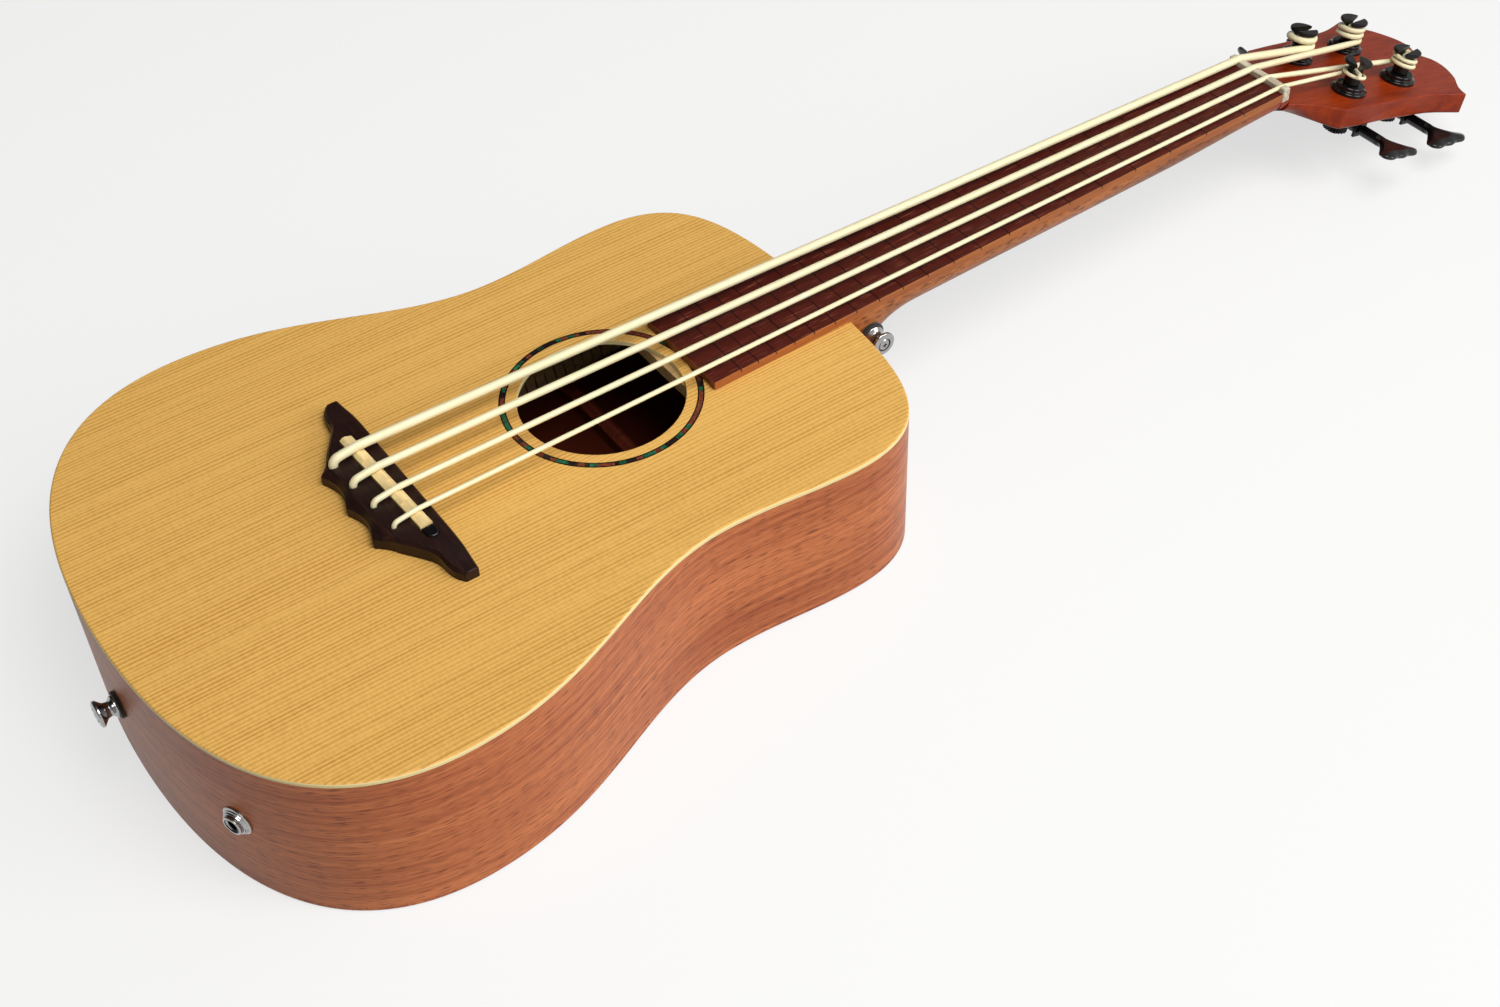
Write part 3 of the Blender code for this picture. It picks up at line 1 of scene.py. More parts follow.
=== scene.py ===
import bmesh
import bpy
import numpy as np
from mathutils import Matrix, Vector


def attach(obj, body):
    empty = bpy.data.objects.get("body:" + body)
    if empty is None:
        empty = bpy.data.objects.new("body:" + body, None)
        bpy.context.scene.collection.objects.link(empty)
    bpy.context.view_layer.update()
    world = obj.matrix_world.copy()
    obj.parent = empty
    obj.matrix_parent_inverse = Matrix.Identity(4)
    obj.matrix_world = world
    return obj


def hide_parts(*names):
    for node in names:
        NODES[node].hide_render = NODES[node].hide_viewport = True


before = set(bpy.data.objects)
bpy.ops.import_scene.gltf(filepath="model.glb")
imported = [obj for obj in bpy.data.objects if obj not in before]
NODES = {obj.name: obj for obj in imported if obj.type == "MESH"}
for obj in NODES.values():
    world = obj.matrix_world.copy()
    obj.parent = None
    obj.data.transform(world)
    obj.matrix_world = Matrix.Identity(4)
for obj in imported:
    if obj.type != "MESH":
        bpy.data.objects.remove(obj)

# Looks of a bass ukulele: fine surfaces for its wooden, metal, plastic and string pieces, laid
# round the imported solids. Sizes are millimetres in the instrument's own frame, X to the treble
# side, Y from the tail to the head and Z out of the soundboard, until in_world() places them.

bl_info = {
    "name": "Bass ukulele looks",
    "version": (1, 0, 0),
    "blender": (4, 5, 0),
    "location": "View3D > Sidebar > Ukulele",
    "description": "Dresses the packed bass ukulele with fine surfaces and finishes",
    "category": "Object",
}

PI = np.pi

# The body
SCALE = 560.0
DEPTH, TAPER = 89.5, 0.027
TAIL_Y, NECK_END_Y = -152.9, 246.3
OUTLINE = np.array([
    [(0, TAIL_Y), (99.1, TAIL_Y), (153.7, -117.2), (153.7, -47.1)],
    [(153.7, -47.1), (153.7, 21.8), (111.1, 57.2), (111.1, 113.3)],
    [(111.1, 113.3), (111.1, 140.1), (116.2, 158.5), (116.2, 183.9)],
    [(116.2, 183.9), (116.2, 233.9), (85, NECK_END_Y), (0, NECK_END_Y)],
])
OUTLINE_STEPS = 44
PLATE, WALL, PLATE_ROUND = 2.6, 2.0, 1.1
HOLE_Y, HOLE_R = 113.0, 42.0
RING_IN, RING_OUT, RING_DEEP = 47.6, 51.0, 1.4
BACK_CENTRE_Y = 50.0
LINING_WIDE, LINING_HIGH = 5.0, 12.0
BLOCK_HALVES = {"tail": 28.3, "neck": 33.3}
SIDES = {"bass": -1, "treble": 1}

# Fingerboard, nut, neck and head
BOARD_LOW, BOARD_TOP, BOARD_END = 0.3, 5.0, 160.0
NUT_WIDE, LINE_20_WIDE = 43.4, 60.5
FRET_LINES = 20
LINE_HALF, LINE_DEEP = 0.3, 1.5
NUT_LONG, NUT_LOW, NUT_TOP, NUT_HALF = 5.3, -0.95, 8.0, 22.0
NUT_GAP, NUT_LIFT = 0.15, 0.5
HEEL_LONG, ROUNDNESS = 51.0, 0.85
CRISP, SOFT = 0.02, 0.6
HEAD_TILT = np.radians(13)
HEAD_AT = np.array([0, 566.0, -4.0])
HEAD_V = np.array([0, np.cos(HEAD_TILT), -np.sin(HEAD_TILT)])
HEAD_N = np.array([0, np.sin(HEAD_TILT), np.cos(HEAD_TILT)])
HEAD_THICK = 12.8
HEAD_NECK_SIDE = [(-6, 21.8), (0, 22), (11, 25.5), (22, 32), (31, 39.5)]
HEAD_SIDE = [(31, 39.5), (50, 40.5), (70, 41), (90, 42.3), (108, 44.5), (129, 51)]
HEAD_END = [(0, 142.5), (9, 147.6), (18, 147.5), (28, 143.5), (35, 139), (40, 134), (46, 130.5),
            (51, 129)]
HEAD_SHOULDER, HEAD_SPLIT, HEAD_LAST, HEAD_END_HALF = 31, 40, 129, 51

# Bridge and saddle
BRIDGE_TOP, BRIDGE_TIP_X = 8.6, 70.0
WING = [(26, -27), (31, -22), (37, -18.2), (42, -14.6), (47, -11.2), (51, -8.8), (55, -7.6),
        (60, -7.2), (66, -5.6), (70, -3.0)]
SADDLE_ENDS, SADDLE_YS, SADDLE_WIDE = (-39.0, 36.0), (-6.8, -3.5), 6.5
SADDLE_CROWN, SADDLE_LOW, SLOT_FLOOR = 11.0, 5.4, 3.6
SADDLE_MIDDLE = sum(SADDLE_ENDS) / 2
PLUG_LONG, PLUG_PROUD = 7.5, 0.8

# Strings: where each crosses nut and bridge, and how it lies on its post
STRINGS = {
    "e": dict(nut=-17.0, bridge=-26.8, thick=4.75, hole=-19.6, squeeze=0.85, turns=1, start=10.1,
              slot=81, stub=-2.0, rise=0.0),
    "a": dict(nut=-5.7, bridge=-8.9, thick=3.9, hole=-18.3, squeeze=0.82, turns=2, start=7.2,
              slot=98, stub=-2.0, rise=0.0),
    "d": dict(nut=5.7, bridge=8.9, thick=3.1, hole=-16.9, squeeze=0.85, turns=2, start=9.3,
              slot=102, stub=-2.0, rise=0.0),
    "g": dict(nut=17.0, bridge=26.8, thick=2.5, hole=-15.8, squeeze=0.88, turns=1, start=9.3,
              slot=143, stub=-10.0, rise=2.6),
}
KNOT_LONG, KNOT_SWELL = 8.0, 1.6
STRING_HOLE_GAP, STRING_PRESS = 0.6, 0.06

# Tuners
TUNERS = {
    "e": dict(x=-21.6, along=53.3, side=-1, turned=42),
    "a": dict(x=-21.2, along=99.0, side=-1, turned=38),
    "d": dict(x=21.2, along=99.0, side=1, turned=3),
    "g": dict(x=21.6, along=53.3, side=1, turned=-2),
}
POST_NECK, POST_TOP, SLOT_WIDE, SLOT_BOTTOM = 4.8, 19.5, 5.0, 10.5
GEAR_DEPTH, WORM_OFFSET = 22.5, 11.5
KEY_START, KEY_LONG, KEY_HALF_WIDE = 26.0, 19.2, 17.3
KEY_SIDE = [(0, 0.17), (0.13, 0.25), (0.26, 0.42), (0.42, 0.65), (0.57, 0.84), (0.70, 0.96),
            (0.83, 1)]
KEY_END = [(0, 0.98), (0.14, 0.96), (0.32, 0.93), (0.49, 0.96), (0.66, 1), (0.81, 1), (0.95, 0.94),
           (1, 0.83)]

# Strap buttons and jack
TAIL_SEAT = np.array([0, TAIL_Y, -46.0])
HEEL_BUTTON = (259.0, -15.0)
BUTTON_LONG, FELT_R, FELT_THICK = 9.5, 7.0, 1.8
JACK_SHARE, JACK_Z = 0.383, -45.0

# Finishes and light: shine, marks and dents in metres, and the camera
SATIN_WOOD_SHINE = 0.25
STAIN_STARTS = (0.530, 0.560)
SHELLS_PER_METRE, SHELL_HALF = 280.0, 0.001
SKIN_DEEP = 0.00002
CAMERA_AT = (0.67263, -0.22657, 0.77584)
CAMERA_TURN = (0.769937, 0.049938, 0.957)
CAMERA_LENS = 49.4685
FLOOR_GLOW, FLOOR_REACH, FLOOR_Z = 0.67, 12.0, -0.0004


def linear_colour(code):
    """An sRGB hex colour as the linear red, green, blue and alpha that a shader takes."""
    levels = np.array([int(code[i:i + 2], 16) for i in (1, 3, 5)]) / 255
    bright = np.where(levels <= 0.04045, levels / 12.92, ((levels + 0.055) / 1.055) ** 2.4)
    return (*bright.tolist(), 1.0)


def colour_choice(label, about, code):
    """A colour that the panel offers, from its hex code."""
    return bpy.props.FloatVectorProperty(name=label, description=about, subtype="COLOR", size=4,
                                         min=0, max=1, default=linear_colour(code))


def size_choice(label, about, millimetres):
    """A length that the panel offers, from its millimetres."""
    return bpy.props.FloatProperty(name=label, description=about, unit="LENGTH",
                                   subtype="DISTANCE",
                                   min=0, precision=4, default=millimetres * 0.001)


class UKE_PG_woods(bpy.types.PropertyGroup):
    """Colours and grain sizes of the wooden pieces"""
    top_pale: colour_choice("Top, early wood", "Spruce between its growth lines", "#EAB864")
    top_dark: colour_choice("Top, late wood", "Spruce growth lines", "#BC863A")
    # The rim colour is the cut edge's pale tone, lightened further as a painted highlight.
    top_rim_and_highlight: colour_choice("Top, rim", "The cut edge of the spruce", "#F0DCA0")
    top_spacing: size_choice("Growth lines", "Distance between two growth lines of the top", 2.3)
    side_pale: colour_choice("Sides, pale", "Pale bands of the mahogany", "#D27D4A")
    side_dark: colour_choice("Sides, dark", "Dark bands of the mahogany", "#984724")
    side_pore: colour_choice("Sides, pores", "Open pores of the mahogany", "#64280E")
    head_pale: colour_choice("Head, pale", "Pale bands of the red head", "#A0370A")
    head_dark: colour_choice("Head, dark", "Dark bands of the red head", "#741D03")
    neck_pale: colour_choice("Neck, pale", "Pale bands of the orange-brown neck", "#B96F38")
    neck_dark: colour_choice("Neck, dark", "Dark bands of the orange-brown neck", "#7C3C18")
    board_face: colour_choice("Fingerboard", "The fingerboard's face", "#561A10")
    board_edge: colour_choice("Fingerboard edge", "The fingerboard's bare edge", "#AC662F")
    bridge_wood: colour_choice("Bridge", "The bridge's dark wood", "#26110B")
    # The inside mahogany colour is darkened as painted shade inside the body.
    inner_red_painted_shade: colour_choice("Inside mahogany", "Bare mahogany inside the body", "#722C16")
    inner_wood: colour_choice("Inside wood", "Bare spruce of linings and braces", "#CDAA76")


class UKE_PG_fittings(bpy.types.PropertyGroup):
    """Colours of the strings, the inlay and the fittings"""
    string_tone: colour_choice("Strings", "Smooth rubbery polymer", "#F1E8C2")
    saddle_tone: colour_choice("Saddle", "Yellowed bone", "#F9E1A4")
    nut_tone: colour_choice("Nut", "Pale bone", "#DCD2BA")
    inlay_green: colour_choice("Ring, green", "Green shell pieces", "#1A6040")
    inlay_red: colour_choice("Ring, red", "Red shell pieces", "#86402A")
    inlay_dark: colour_choice("Ring, dark", "Dark shell pieces", "#2A1A16")
    black_gloss: colour_choice("Black parts", "Bushings, keys and plug", "#0E0D0E")
    post_tone: colour_choice("Posts", "Satin black posts", "#2E2A28")
    chrome_tone: colour_choice("Chrome", "Strap buttons and jack nut", "#ABAAA9")


class UKE_PG_studio(bpy.types.PropertyGroup):
    """The floor and the lamps"""
    floor_tone: colour_choice("Floor", "Plain pale floor", "#8E8E8C")
    key_power: bpy.props.FloatProperty(name="Main lamp", description="Power of the main soft lamp",
                                       subtype="POWER", min=0, default=26)
    fill_power: bpy.props.FloatProperty(name="Second lamp",
                                        description="Power of the second soft lamp",
                                        subtype="POWER", min=0, default=16)


# Shapes worked out as arrays
def in_world(points):
    """Instrument millimetres to world metres: raised by the body's depth, then levelled."""
    cos, sin = np.cos(np.arctan(TAPER)), np.sin(np.arctan(TAPER))
    level = np.array([[1, 0, 0], [0, cos, sin], [0, -sin, cos]])
    return (np.asarray(points, float) + (0, 0, DEPTH)) @ level.T * 0.001


def on_head(points):
    """Points across, along and out of the head's face, as instrument points."""
    points = np.asarray(points, float)
    across, along, out = points[..., :1], points[..., 1:2], points[..., 2:]
    return HEAD_AT + across * (1, 0, 0) + along * HEAD_V + out * HEAD_N


def unit(v):
    """The same directions with length one."""
    return v / np.linalg.norm(v, axis=-1, keepdims=True)


def grid(*columns):
    """Coordinates that broadcast against each other, stacked as points."""
    return np.stack(np.broadcast_arrays(*columns), -1)


def eased(x):
    """Shares from 0 to 1, with a slow start and a slow end."""
    x = np.clip(x, 0, 1)
    return x * x * (3 - 2 * x)


def cubic(start, end, leaving, arriving, s):
    """The cubic curve from start to end, with the given slopes at both, at the shares s of it."""
    return (start * (2 * s ** 3 - 3 * s * s + 1) + leaving * (s ** 3 - 2 * s * s + s)
            + end * (3 * s * s - 2 * s ** 3) + arriving * (s ** 3 - s * s))


def flowing(knots, at):
    """A curve through knots as cubic pieces whose slopes are the means of their neighbours'."""
    x, y = np.array(knots, float).T
    slope = np.diff(y) / np.diff(x)
    tangent = np.concatenate([slope[:1], (slope[1:] + slope[:-1]) / 2, slope[-1:]])
    at = np.clip(at, x[0], x[-1])
    i = np.clip(np.searchsorted(x, at, side="right") - 1, 0, len(x) - 2)
    h = x[i + 1] - x[i]
    s = (at - x[i]) / h
    return cubic(y[i], y[i + 1], h * tangent[i], h * tangent[i + 1], s)


def rounded_path(corners, bends, step=0.1):
    """A line through corners, with an arc of its own radius at each inner corner."""
    corners = np.asarray(corners, float)
    path = [corners[:1]]
    for before, corner, after, bend in zip(corners, corners[1:], corners[2:], bends):
        first, second = unit(corner - before), unit(after - corner)
        turn = np.arccos(np.clip(first @ second, -1, 1))
        if bend <= 0 or turn < 0.01:
            path.append(corner[None])
            continue
        middle = corner + unit(second - first) * bend / np.cos(turn / 2)
        start = corner - first * bend * np.tan(turn / 2) - middle
        angle = np.linspace(0, turn, max(3, int(np.ceil(turn / step))) + 1)[:, None]
        path.append(middle + start * np.cos(angle) + first * bend * np.sin(angle))
    path.append(corners[-1:])
    return np.concatenate(path)


def travelled(points):
    """The distance along a line of points to each of them."""
    return np.concatenate([[0], np.cumsum(np.linalg.norm(np.diff(points, axis=0), axis=1))])


def denser(points, spacing):
    """The same line with extra points, so that no two are further apart than spacing."""
    far = travelled(points)
    stops = np.unique(np.concatenate([far, np.arange(0, far[-1], spacing)]).round(6))
    return np.stack([np.interp(stops, far, column) for column in points.T], 1)


def turned(profile, sides=64):
    """A profile of radius and height turned about Z: every point goes round a full circle."""
    radius, height = np.asarray(profile, float)[:, :2].T
    angle = np.linspace(0, 2 * PI, sides, endpoint=False)
    return grid(radius[:, None] * np.cos(angle), radius[:, None] * np.sin(angle), height[:, None])


def tube(points, radii, reference, sides=24):
    """A round tube: circles about each point, square to the line, measured from a reference."""
    ahead = unit(np.gradient(points, axis=0))
    across = unit(reference - (reference * ahead).sum(1, keepdims=True) * ahead)
    other = np.cross(ahead, across)
    angle = np.linspace(0, 2 * PI, sides, endpoint=False)[None, :, None]
    ring = across[:, None] * np.cos(angle) + other[:, None] * np.sin(angle)
    return ends_closed(points[:, None] + np.reshape(radii, (-1, 1, 1)) * ring)


def ends_closed(rows):
    """Rows of loops with one more row at each end, drawn together at the loop's middle."""
    first = np.broadcast_to(rows[0].mean(0), rows[0].shape)
    last = np.broadcast_to(rows[-1].mean(0), rows[-1].shape)
    return np.concatenate([first[None], rows, last[None]])


def corners_broken(loops, size):
    """Closed polygons (stations, corners, 2) whose every corner becomes two points, size away."""
    back = unit(np.roll(loops, 1, 1) - loops)
    ahead = unit(np.roll(loops, -1, 1) - loops)
    pairs = np.stack([loops + back * size, loops + ahead * size], 2)
    return pairs.reshape(loops.shape[0], -1, loops.shape[2])


def bezier(curve, t):
    """Where a Bezier curve of four points is at its shares t, and which way it goes there."""
    (a, b, c, d), r = curve, 1 - t
    spot = a * r ** 3 + 3 * b * r * r * t + 3 * c * r * t * t + d * t ** 3
    return spot, (b - a) * r * r + (c - b) * 2 * r * t + (d - c) * t * t


def half_outline(inset=0.0):
    """The treble half of the outline: four Bezier curves, with each point moved in by inset."""
    t = np.linspace(0, 1, OUTLINE_STEPS, endpoint=False)[:, None]
    spots, slopes = zip(*[bezier(curve, t) for curve in OUTLINE])
    spots = np.concatenate([*spots, OUTLINE[-1, 3:]])
    slope = unit(np.concatenate([*slopes, OUTLINE[-1, 3:] - OUTLINE[-1, 2:3]]))
    return spots - np.stack([slope[:, 1], -slope[:, 0]], 1) * np.reshape(inset, (-1, 1))


def whole_outline(inset=0.0):
    """The outline once round both halves, from the tail."""
    half = half_outline(inset)
    return np.concatenate([half, half[-2:0:-1] * (-1, 1)])


def back_face(y):
    """How high the outer face of the sloping back lies at y."""
    return -(DEPTH - TAPER * y)


# Pieces from arrays
def sheet_faces(rows, columns, wraps):
    """Four-sided faces between neighbouring rows, closed round where the rows are loops."""
    i = np.arange(rows - 1)[:, None] * columns
    j = np.arange(columns if wraps else columns - 1)[None]
    k = (j + 1) % columns
    return np.stack([i + j, i + k, i + columns + k, i + columns + j], -1).reshape(-1, 4)


def shape_mesh(name, sheets, wraps=True, marks=None, sharp=35):
    """Sheets of world points as one mesh: doubles merged, faces turned outwards."""
    faces, start = [], 0
    for sheet in sheets:
        rows, columns = sheet.shape[:2]
        faces.append(sheet_faces(rows, columns, wraps) + start)
        start += rows * columns
    mesh = bpy.data.meshes.new(name)
    points = np.concatenate([sheet.reshape(-1, 3) for sheet in sheets])
    mesh.from_pydata(points.tolist(), [], np.concatenate(faces).tolist())
    for mark, values in (marks or {}).items():
        flat = np.concatenate([np.asarray(v, float).reshape(-1, v.shape[-1] if v.ndim > 2 else 1)
                               for v in values])
        kind, field = ("FLOAT_VECTOR", "vector") if flat.shape[1] == 3 else ("FLOAT", "value")
        mesh.attributes.new(mark, kind, "POINT").data.foreach_set(field, flat.ravel())
    merge_doubles(mesh)
    shade(mesh, sharp)
    return mesh


def merge_doubles(mesh, distance=0.000004):
    """Joins points that lie together, drops what has no area and turns faces outwards."""
    work = bmesh.new()
    work.from_mesh(mesh)
    bmesh.ops.remove_doubles(work, verts=work.verts, dist=distance)
    bmesh.ops.dissolve_degenerate(work, dist=distance / 4, edges=work.edges)
    bmesh.ops.recalc_face_normals(work, faces=work.faces)
    work.to_mesh(mesh)
    work.free()


def shade(mesh, sharp):
    """Smooth shading, but for the edges where faces meet at more than sharp degrees."""
    mesh.shade_smooth()
    mesh.set_sharp_from_angle(angle=np.radians(sharp))


def piece(name, mesh, material, body="instrument", stands_for=(), weighted=True):
    """One finished piece at the origin, riding on its body and standing for its solids."""
    made = bpy.data.objects.new(name, mesh)
    bpy.context.scene.collection.objects.link(made)
    mesh.materials.clear()
    mesh.materials.append(material)
    if weighted:
        even = made.modifiers.new("Even shading", "WEIGHTED_NORMAL")
        even.keep_sharp = True
    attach(made, body)
    if stands_for:
        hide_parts(*stands_for)
    return made


def cut(mesh, tools, sharp=35):
    """The mesh with each tool mesh taken out of it."""
    body = bpy.data.objects.new("blank", mesh)
    bpy.context.scene.collection.objects.link(body)
    helpers = []
    for tool in tools:
        helper = bpy.data.objects.new("tool", tool)
        bpy.context.scene.collection.objects.link(helper)
        helpers.append(helper)
        step = body.modifiers.new("Cut", "BOOLEAN")
        step.operation = "DIFFERENCE"
        step.solver = "EXACT"
        step.object = helper
    bpy.context.view_layer.update()
    ready = body.evaluated_get(bpy.context.evaluated_depsgraph_get())
    done = bpy.data.meshes.new_from_object(ready)
    for old in [body] + helpers:
        bpy.data.objects.remove(old)
    if len(done.polygons) < 4:
        raise RuntimeError("a cut left nothing of " + mesh.name)
    shade(done, sharp)
    return done


def string_holes(low, high):
    """A plain cylinder along Z through each string's hole, for cutting."""
    for string in STRINGS.values():
        radius = string["thick"] / 2 + STRING_HOLE_GAP
        rows = turned([(radius, low), (radius, high)], 32) + (string["bridge"], string["hole"], 0)
        yield shape_mesh("rod", [in_world(ends_closed(rows))])


def tapered_ends(rows, reach, shares, about=(1, 1, 1)):
    """One more row at each end, reach away from the middle and drawn in by its shares."""
    ends = []
    for row, x in ((rows[0], -reach), (rows[-1], reach)):
        middle = row.mean(0) * about
        small = middle + (row - middle) * shares
        small[:, 0] = x
        ends.append(small[None])
    return np.concatenate([ends[0], rows, ends[1]])


# Finishes
def put(tree, kind, *values, out=None, **settings):
    """Adds one node with its settings. The values fill its sockets in order, each a number, a
    colour or another node's output, and None leaves a socket as it is. Gives the first output,
    or the one named."""
    node = tree.nodes.new("ShaderNode" + kind)
    for name, value in settings.items():
        setattr(node, name, value)
    for socket, value in zip([s for s in node.inputs if s.enabled], values):
        if isinstance(value, bpy.types.NodeSocket):
            tree.links.new(value, socket)
        elif value is not None:
            socket.default_value = value
    return node.outputs[out] if out else next(s for s in node.outputs if s.enabled)


def speckle(tree, coords, cells, detail, low=0.0, high=1.0, to_low=0.0, to_high=1.0):
    """Noise with so many cells to a metre across, along and out: 500 are cells of 2 mm. Its values
    from low to high are spread over to_low to to_high."""
    place = put(tree, "Mapping", coords, None, None, cells)
    noise = put(tree, "TexNoise", place, 1.0, detail, 0.5)
    return put(tree, "MapRange", noise, low, high, to_low, to_high)


def start_finish(name, roughness, metallic=0.0, **more):
    """A new material, its node tree and the piece's own coordinates; the values that are the same
    all over go straight on its shader."""
    made = bpy.data.materials.new(name)
    made.use_nodes = True
    sockets = made.node_tree.nodes["Principled BSDF"].inputs
    sockets["Roughness"].default_value = roughness
    sockets["Metallic"].default_value = metallic
    for socket, value in more.items():
        sockets[socket.replace("_", " ")].default_value = value
    return made, made.node_tree, put(made.node_tree, "TexCoord", out="Object")


def end_finish(made, colour, height=None, distance=0.0, strength=1.0):
    """Lays the colour on the shader, and raises the surface by height times distance."""
    tree = made.node_tree
    sockets = tree.nodes["Principled BSDF"].inputs
    tree.links.new(colour, sockets["Base Color"])
    if height:
        bump = put(tree, "Bump", strength, distance, None, height)
        tree.links.new(bump, sockets["Normal"])
    return made


def spruce_top(woods, _):
    """Spruce, quarter-sawn and satin lacquered: even growth lines along the top, crossed by short
    pale silk, and a pale cut edge that is lightened further as a painted highlight. The lines lie
    evenly from the middle join, but for a slow wander, and each darkens slowly towards its late
    wood and ends at once."""
    made, tree, coords = start_finish("quartered_spruce_satin_lacquer", 0.42,
                                      Specular_IOR_Level=SATIN_WOOD_SHINE)
    across = put(tree, "SeparateXYZ", coords, out="X")
    wander = speckle(tree, coords, (45, 0.9, 8), 2.0, to_high=0.006)
    from_join = put(tree, "Math", across, operation="ABSOLUTE")
    from_join = put(tree, "Math", from_join, wander, operation="ADD")
    lines = put(tree, "Math", from_join, woods.top_spacing, operation="DIVIDE")
    ring = put(tree, "Math", lines, operation="FRACT")
    late = put(tree, "MapRange", ring, 0.3, 0.85)
    close = put(tree, "MapRange", ring, 0.9, 1.0, 1.0, 0.0)
    line = put(tree, "Math", late, close, operation="MULTIPLY")
    uneven = speckle(tree, coords, (240, 2, 40), 1.0, 0.3, 0.7, 0.45 * 0.72, 1.25 * 0.72)
    tone = put(tree, "Math", line, uneven, operation="MULTIPLY")
    for cells, detail, to_low, to_high in (
            ((1500, 45, 400), 2.0, -0.10, 0.14),
            ((330, 700, 200), 1.0, 0.10, -0.12),
            ((12, 1.5, 5), 2.0, -0.08, 0.16)):
        spots = speckle(tree, coords, cells, detail, 0.3, 0.7, to_low, to_high)
        tone = put(tree, "Math", tone, spots, operation="ADD")
    colour = put(tree, "Mix", tone, woods.top_pale, woods.top_dark, data_type="RGBA")
    # the rim takes the pale edge colour: the cut edge's own tone, lightened as a painted highlight
    rim = put(tree, "Attribute", attribute_name="rim", out="Fac")
    colour = put(tree, "Mix", rim, colour, woods.top_rim_and_highlight, data_type="RGBA")
    return end_finish(made, colour, tone, 0.00006, 0.35)


def pored_wood(name, pale, dark, pore, roughness, mark=None, pore_share=0.7, finer=1.0,
               lining=None):
    """Open-pored wood, satin lacquered: faint ribbon bands and short dark pores along the grain.
    The grain follows the mark if there is one, and a lining colour, if given, darkens the faces
    marked inside as painted shade."""
    made, tree, coords = start_finish(name, roughness, Specular_IOR_Level=SATIN_WOOD_SHINE)
    if mark:
        coords = put(tree, "Attribute", attribute_name=mark, out="Vector")
    ribbon = speckle(tree, coords, (45 * finer, 3.5, 30), 2.0, 0.3, 0.7, -0.1, 0.45)
    streak = speckle(tree, coords, (420 * finer, 9, 200), 3.0, 0.3, 0.7, -0.2, 0.6)
    fibre = speckle(tree, coords, (1900 * finer, 60, 900), 2.0, 0.3, 0.7, -0.08, 0.16)
    tone = put(tree, "Math", streak, fibre, operation="ADD")
    tone = put(tree, "Math", ribbon, tone, operation="ADD")
    ground = put(tree, "Mix", tone, pale, dark, data_type="RGBA")
    hole = speckle(tree, coords, (1500 * finer, 110, 900), 1.0, 0.56, 0.68, 0.0, pore_share)
    colour = put(tree, "Mix", hole, ground, pore, data_type="RGBA")
    # painted shade: faces marked inside turn to the darker lining colour
    if lining:
        inside = put(tree, "Attribute", attribute_name="inside", out="Fac")
        colour = put(tree, "Mix", inside, colour, lining, data_type="RGBA")
    sunk = put(tree, "Math", hole, -1.0, operation="MULTIPLY")
    return end_finish(made, colour, sunk, 0.00008, 0.5)


def mahogany_sides(woods, _):
    """Mahogany, bent and satin lacquered: its grain runs round the body with the bend."""
    return pored_wood("bent_mahogany_satin_lacquer", woods.side_pale, woods.side_dark,
                      woods.side_pore, 0.4, "grain")


def mahogany_back(woods, _):
    """Mahogany, planed and satin lacquered outside: straight grain along the back, and a dark
    painted shade on its inner face.
    """
    return pored_wood("planed_mahogany_satin_lacquer_painted_shade_inside", woods.side_pale, woods.side_dark,
                      woods.side_pore, 0.4, lining=linear_colour("#481A0C"))


def mahogany_inside_painted_shade(woods, _):
    """Mahogany, planed and left bare inside the body: dull, and darkened to a deep red-brown as
    painted shade inside the body.
    """
    return pored_wood("planed_bare_mahogany_painted_shade", woods.inner_red_painted_shade, linear_colour("#5E2412"),
                      linear_colour("#3A140A"), 0.7)


def mahogany_neck(woods, _):
    """Mahogany, carved and lacquered: orange-brown along the shaft, stained red on the head."""
    made, tree, coords = start_finish("carved_mahogany_red_stain", 0.36,
                                      Specular_IOR_Level=SATIN_WOOD_SHINE)
    streak = speckle(tree, coords, (420, 9, 200), 3.0, 0.3, 0.7, 0.0, 0.7)
    ribbon = speckle(tree, coords, (50, 4, 30), 2.0, 0.3, 0.7, -0.2, 0.35)
    tone = put(tree, "Math", streak, ribbon, operation="ADD")
    fleck = speckle(tree, coords, (1300, 170, 900), 1.0, 0.50, 0.62)
    parts = []
    for pale, dark, spot, share in ((woods.neck_pale, woods.neck_dark, "#5C2A10", 0.7),
                                    (woods.head_pale, woods.head_dark, "#541806", 0.25)):
        wood = put(tree, "Mix", tone, pale, dark, data_type="RGBA")
        faint = put(tree, "Math", fleck, share, operation="MULTIPLY")
        parts.append(put(tree, "Mix", faint, wood, linear_colour(spot), data_type="RGBA"))
    along = put(tree, "SeparateXYZ", coords, out="Y")
    head = put(tree, "MapRange", along, *STAIN_STARTS)
    colour = put(tree, "Mix", head, *parts, data_type="RGBA")
    sunk = put(tree, "Math", fleck, -1.0, operation="MULTIPLY")
    return end_finish(made, colour, sunk, 0.00006, 0.35)


def bare_spruce(woods, _):
    """Sawn spruce, not lacquered: pale, dull and a little furry."""
    return pored_wood("sawn_bare_spruce", woods.inner_wood, linear_colour("#B38D58"),
                      linear_colour("#94703F"), 0.75, None, 0.3, 0.8)


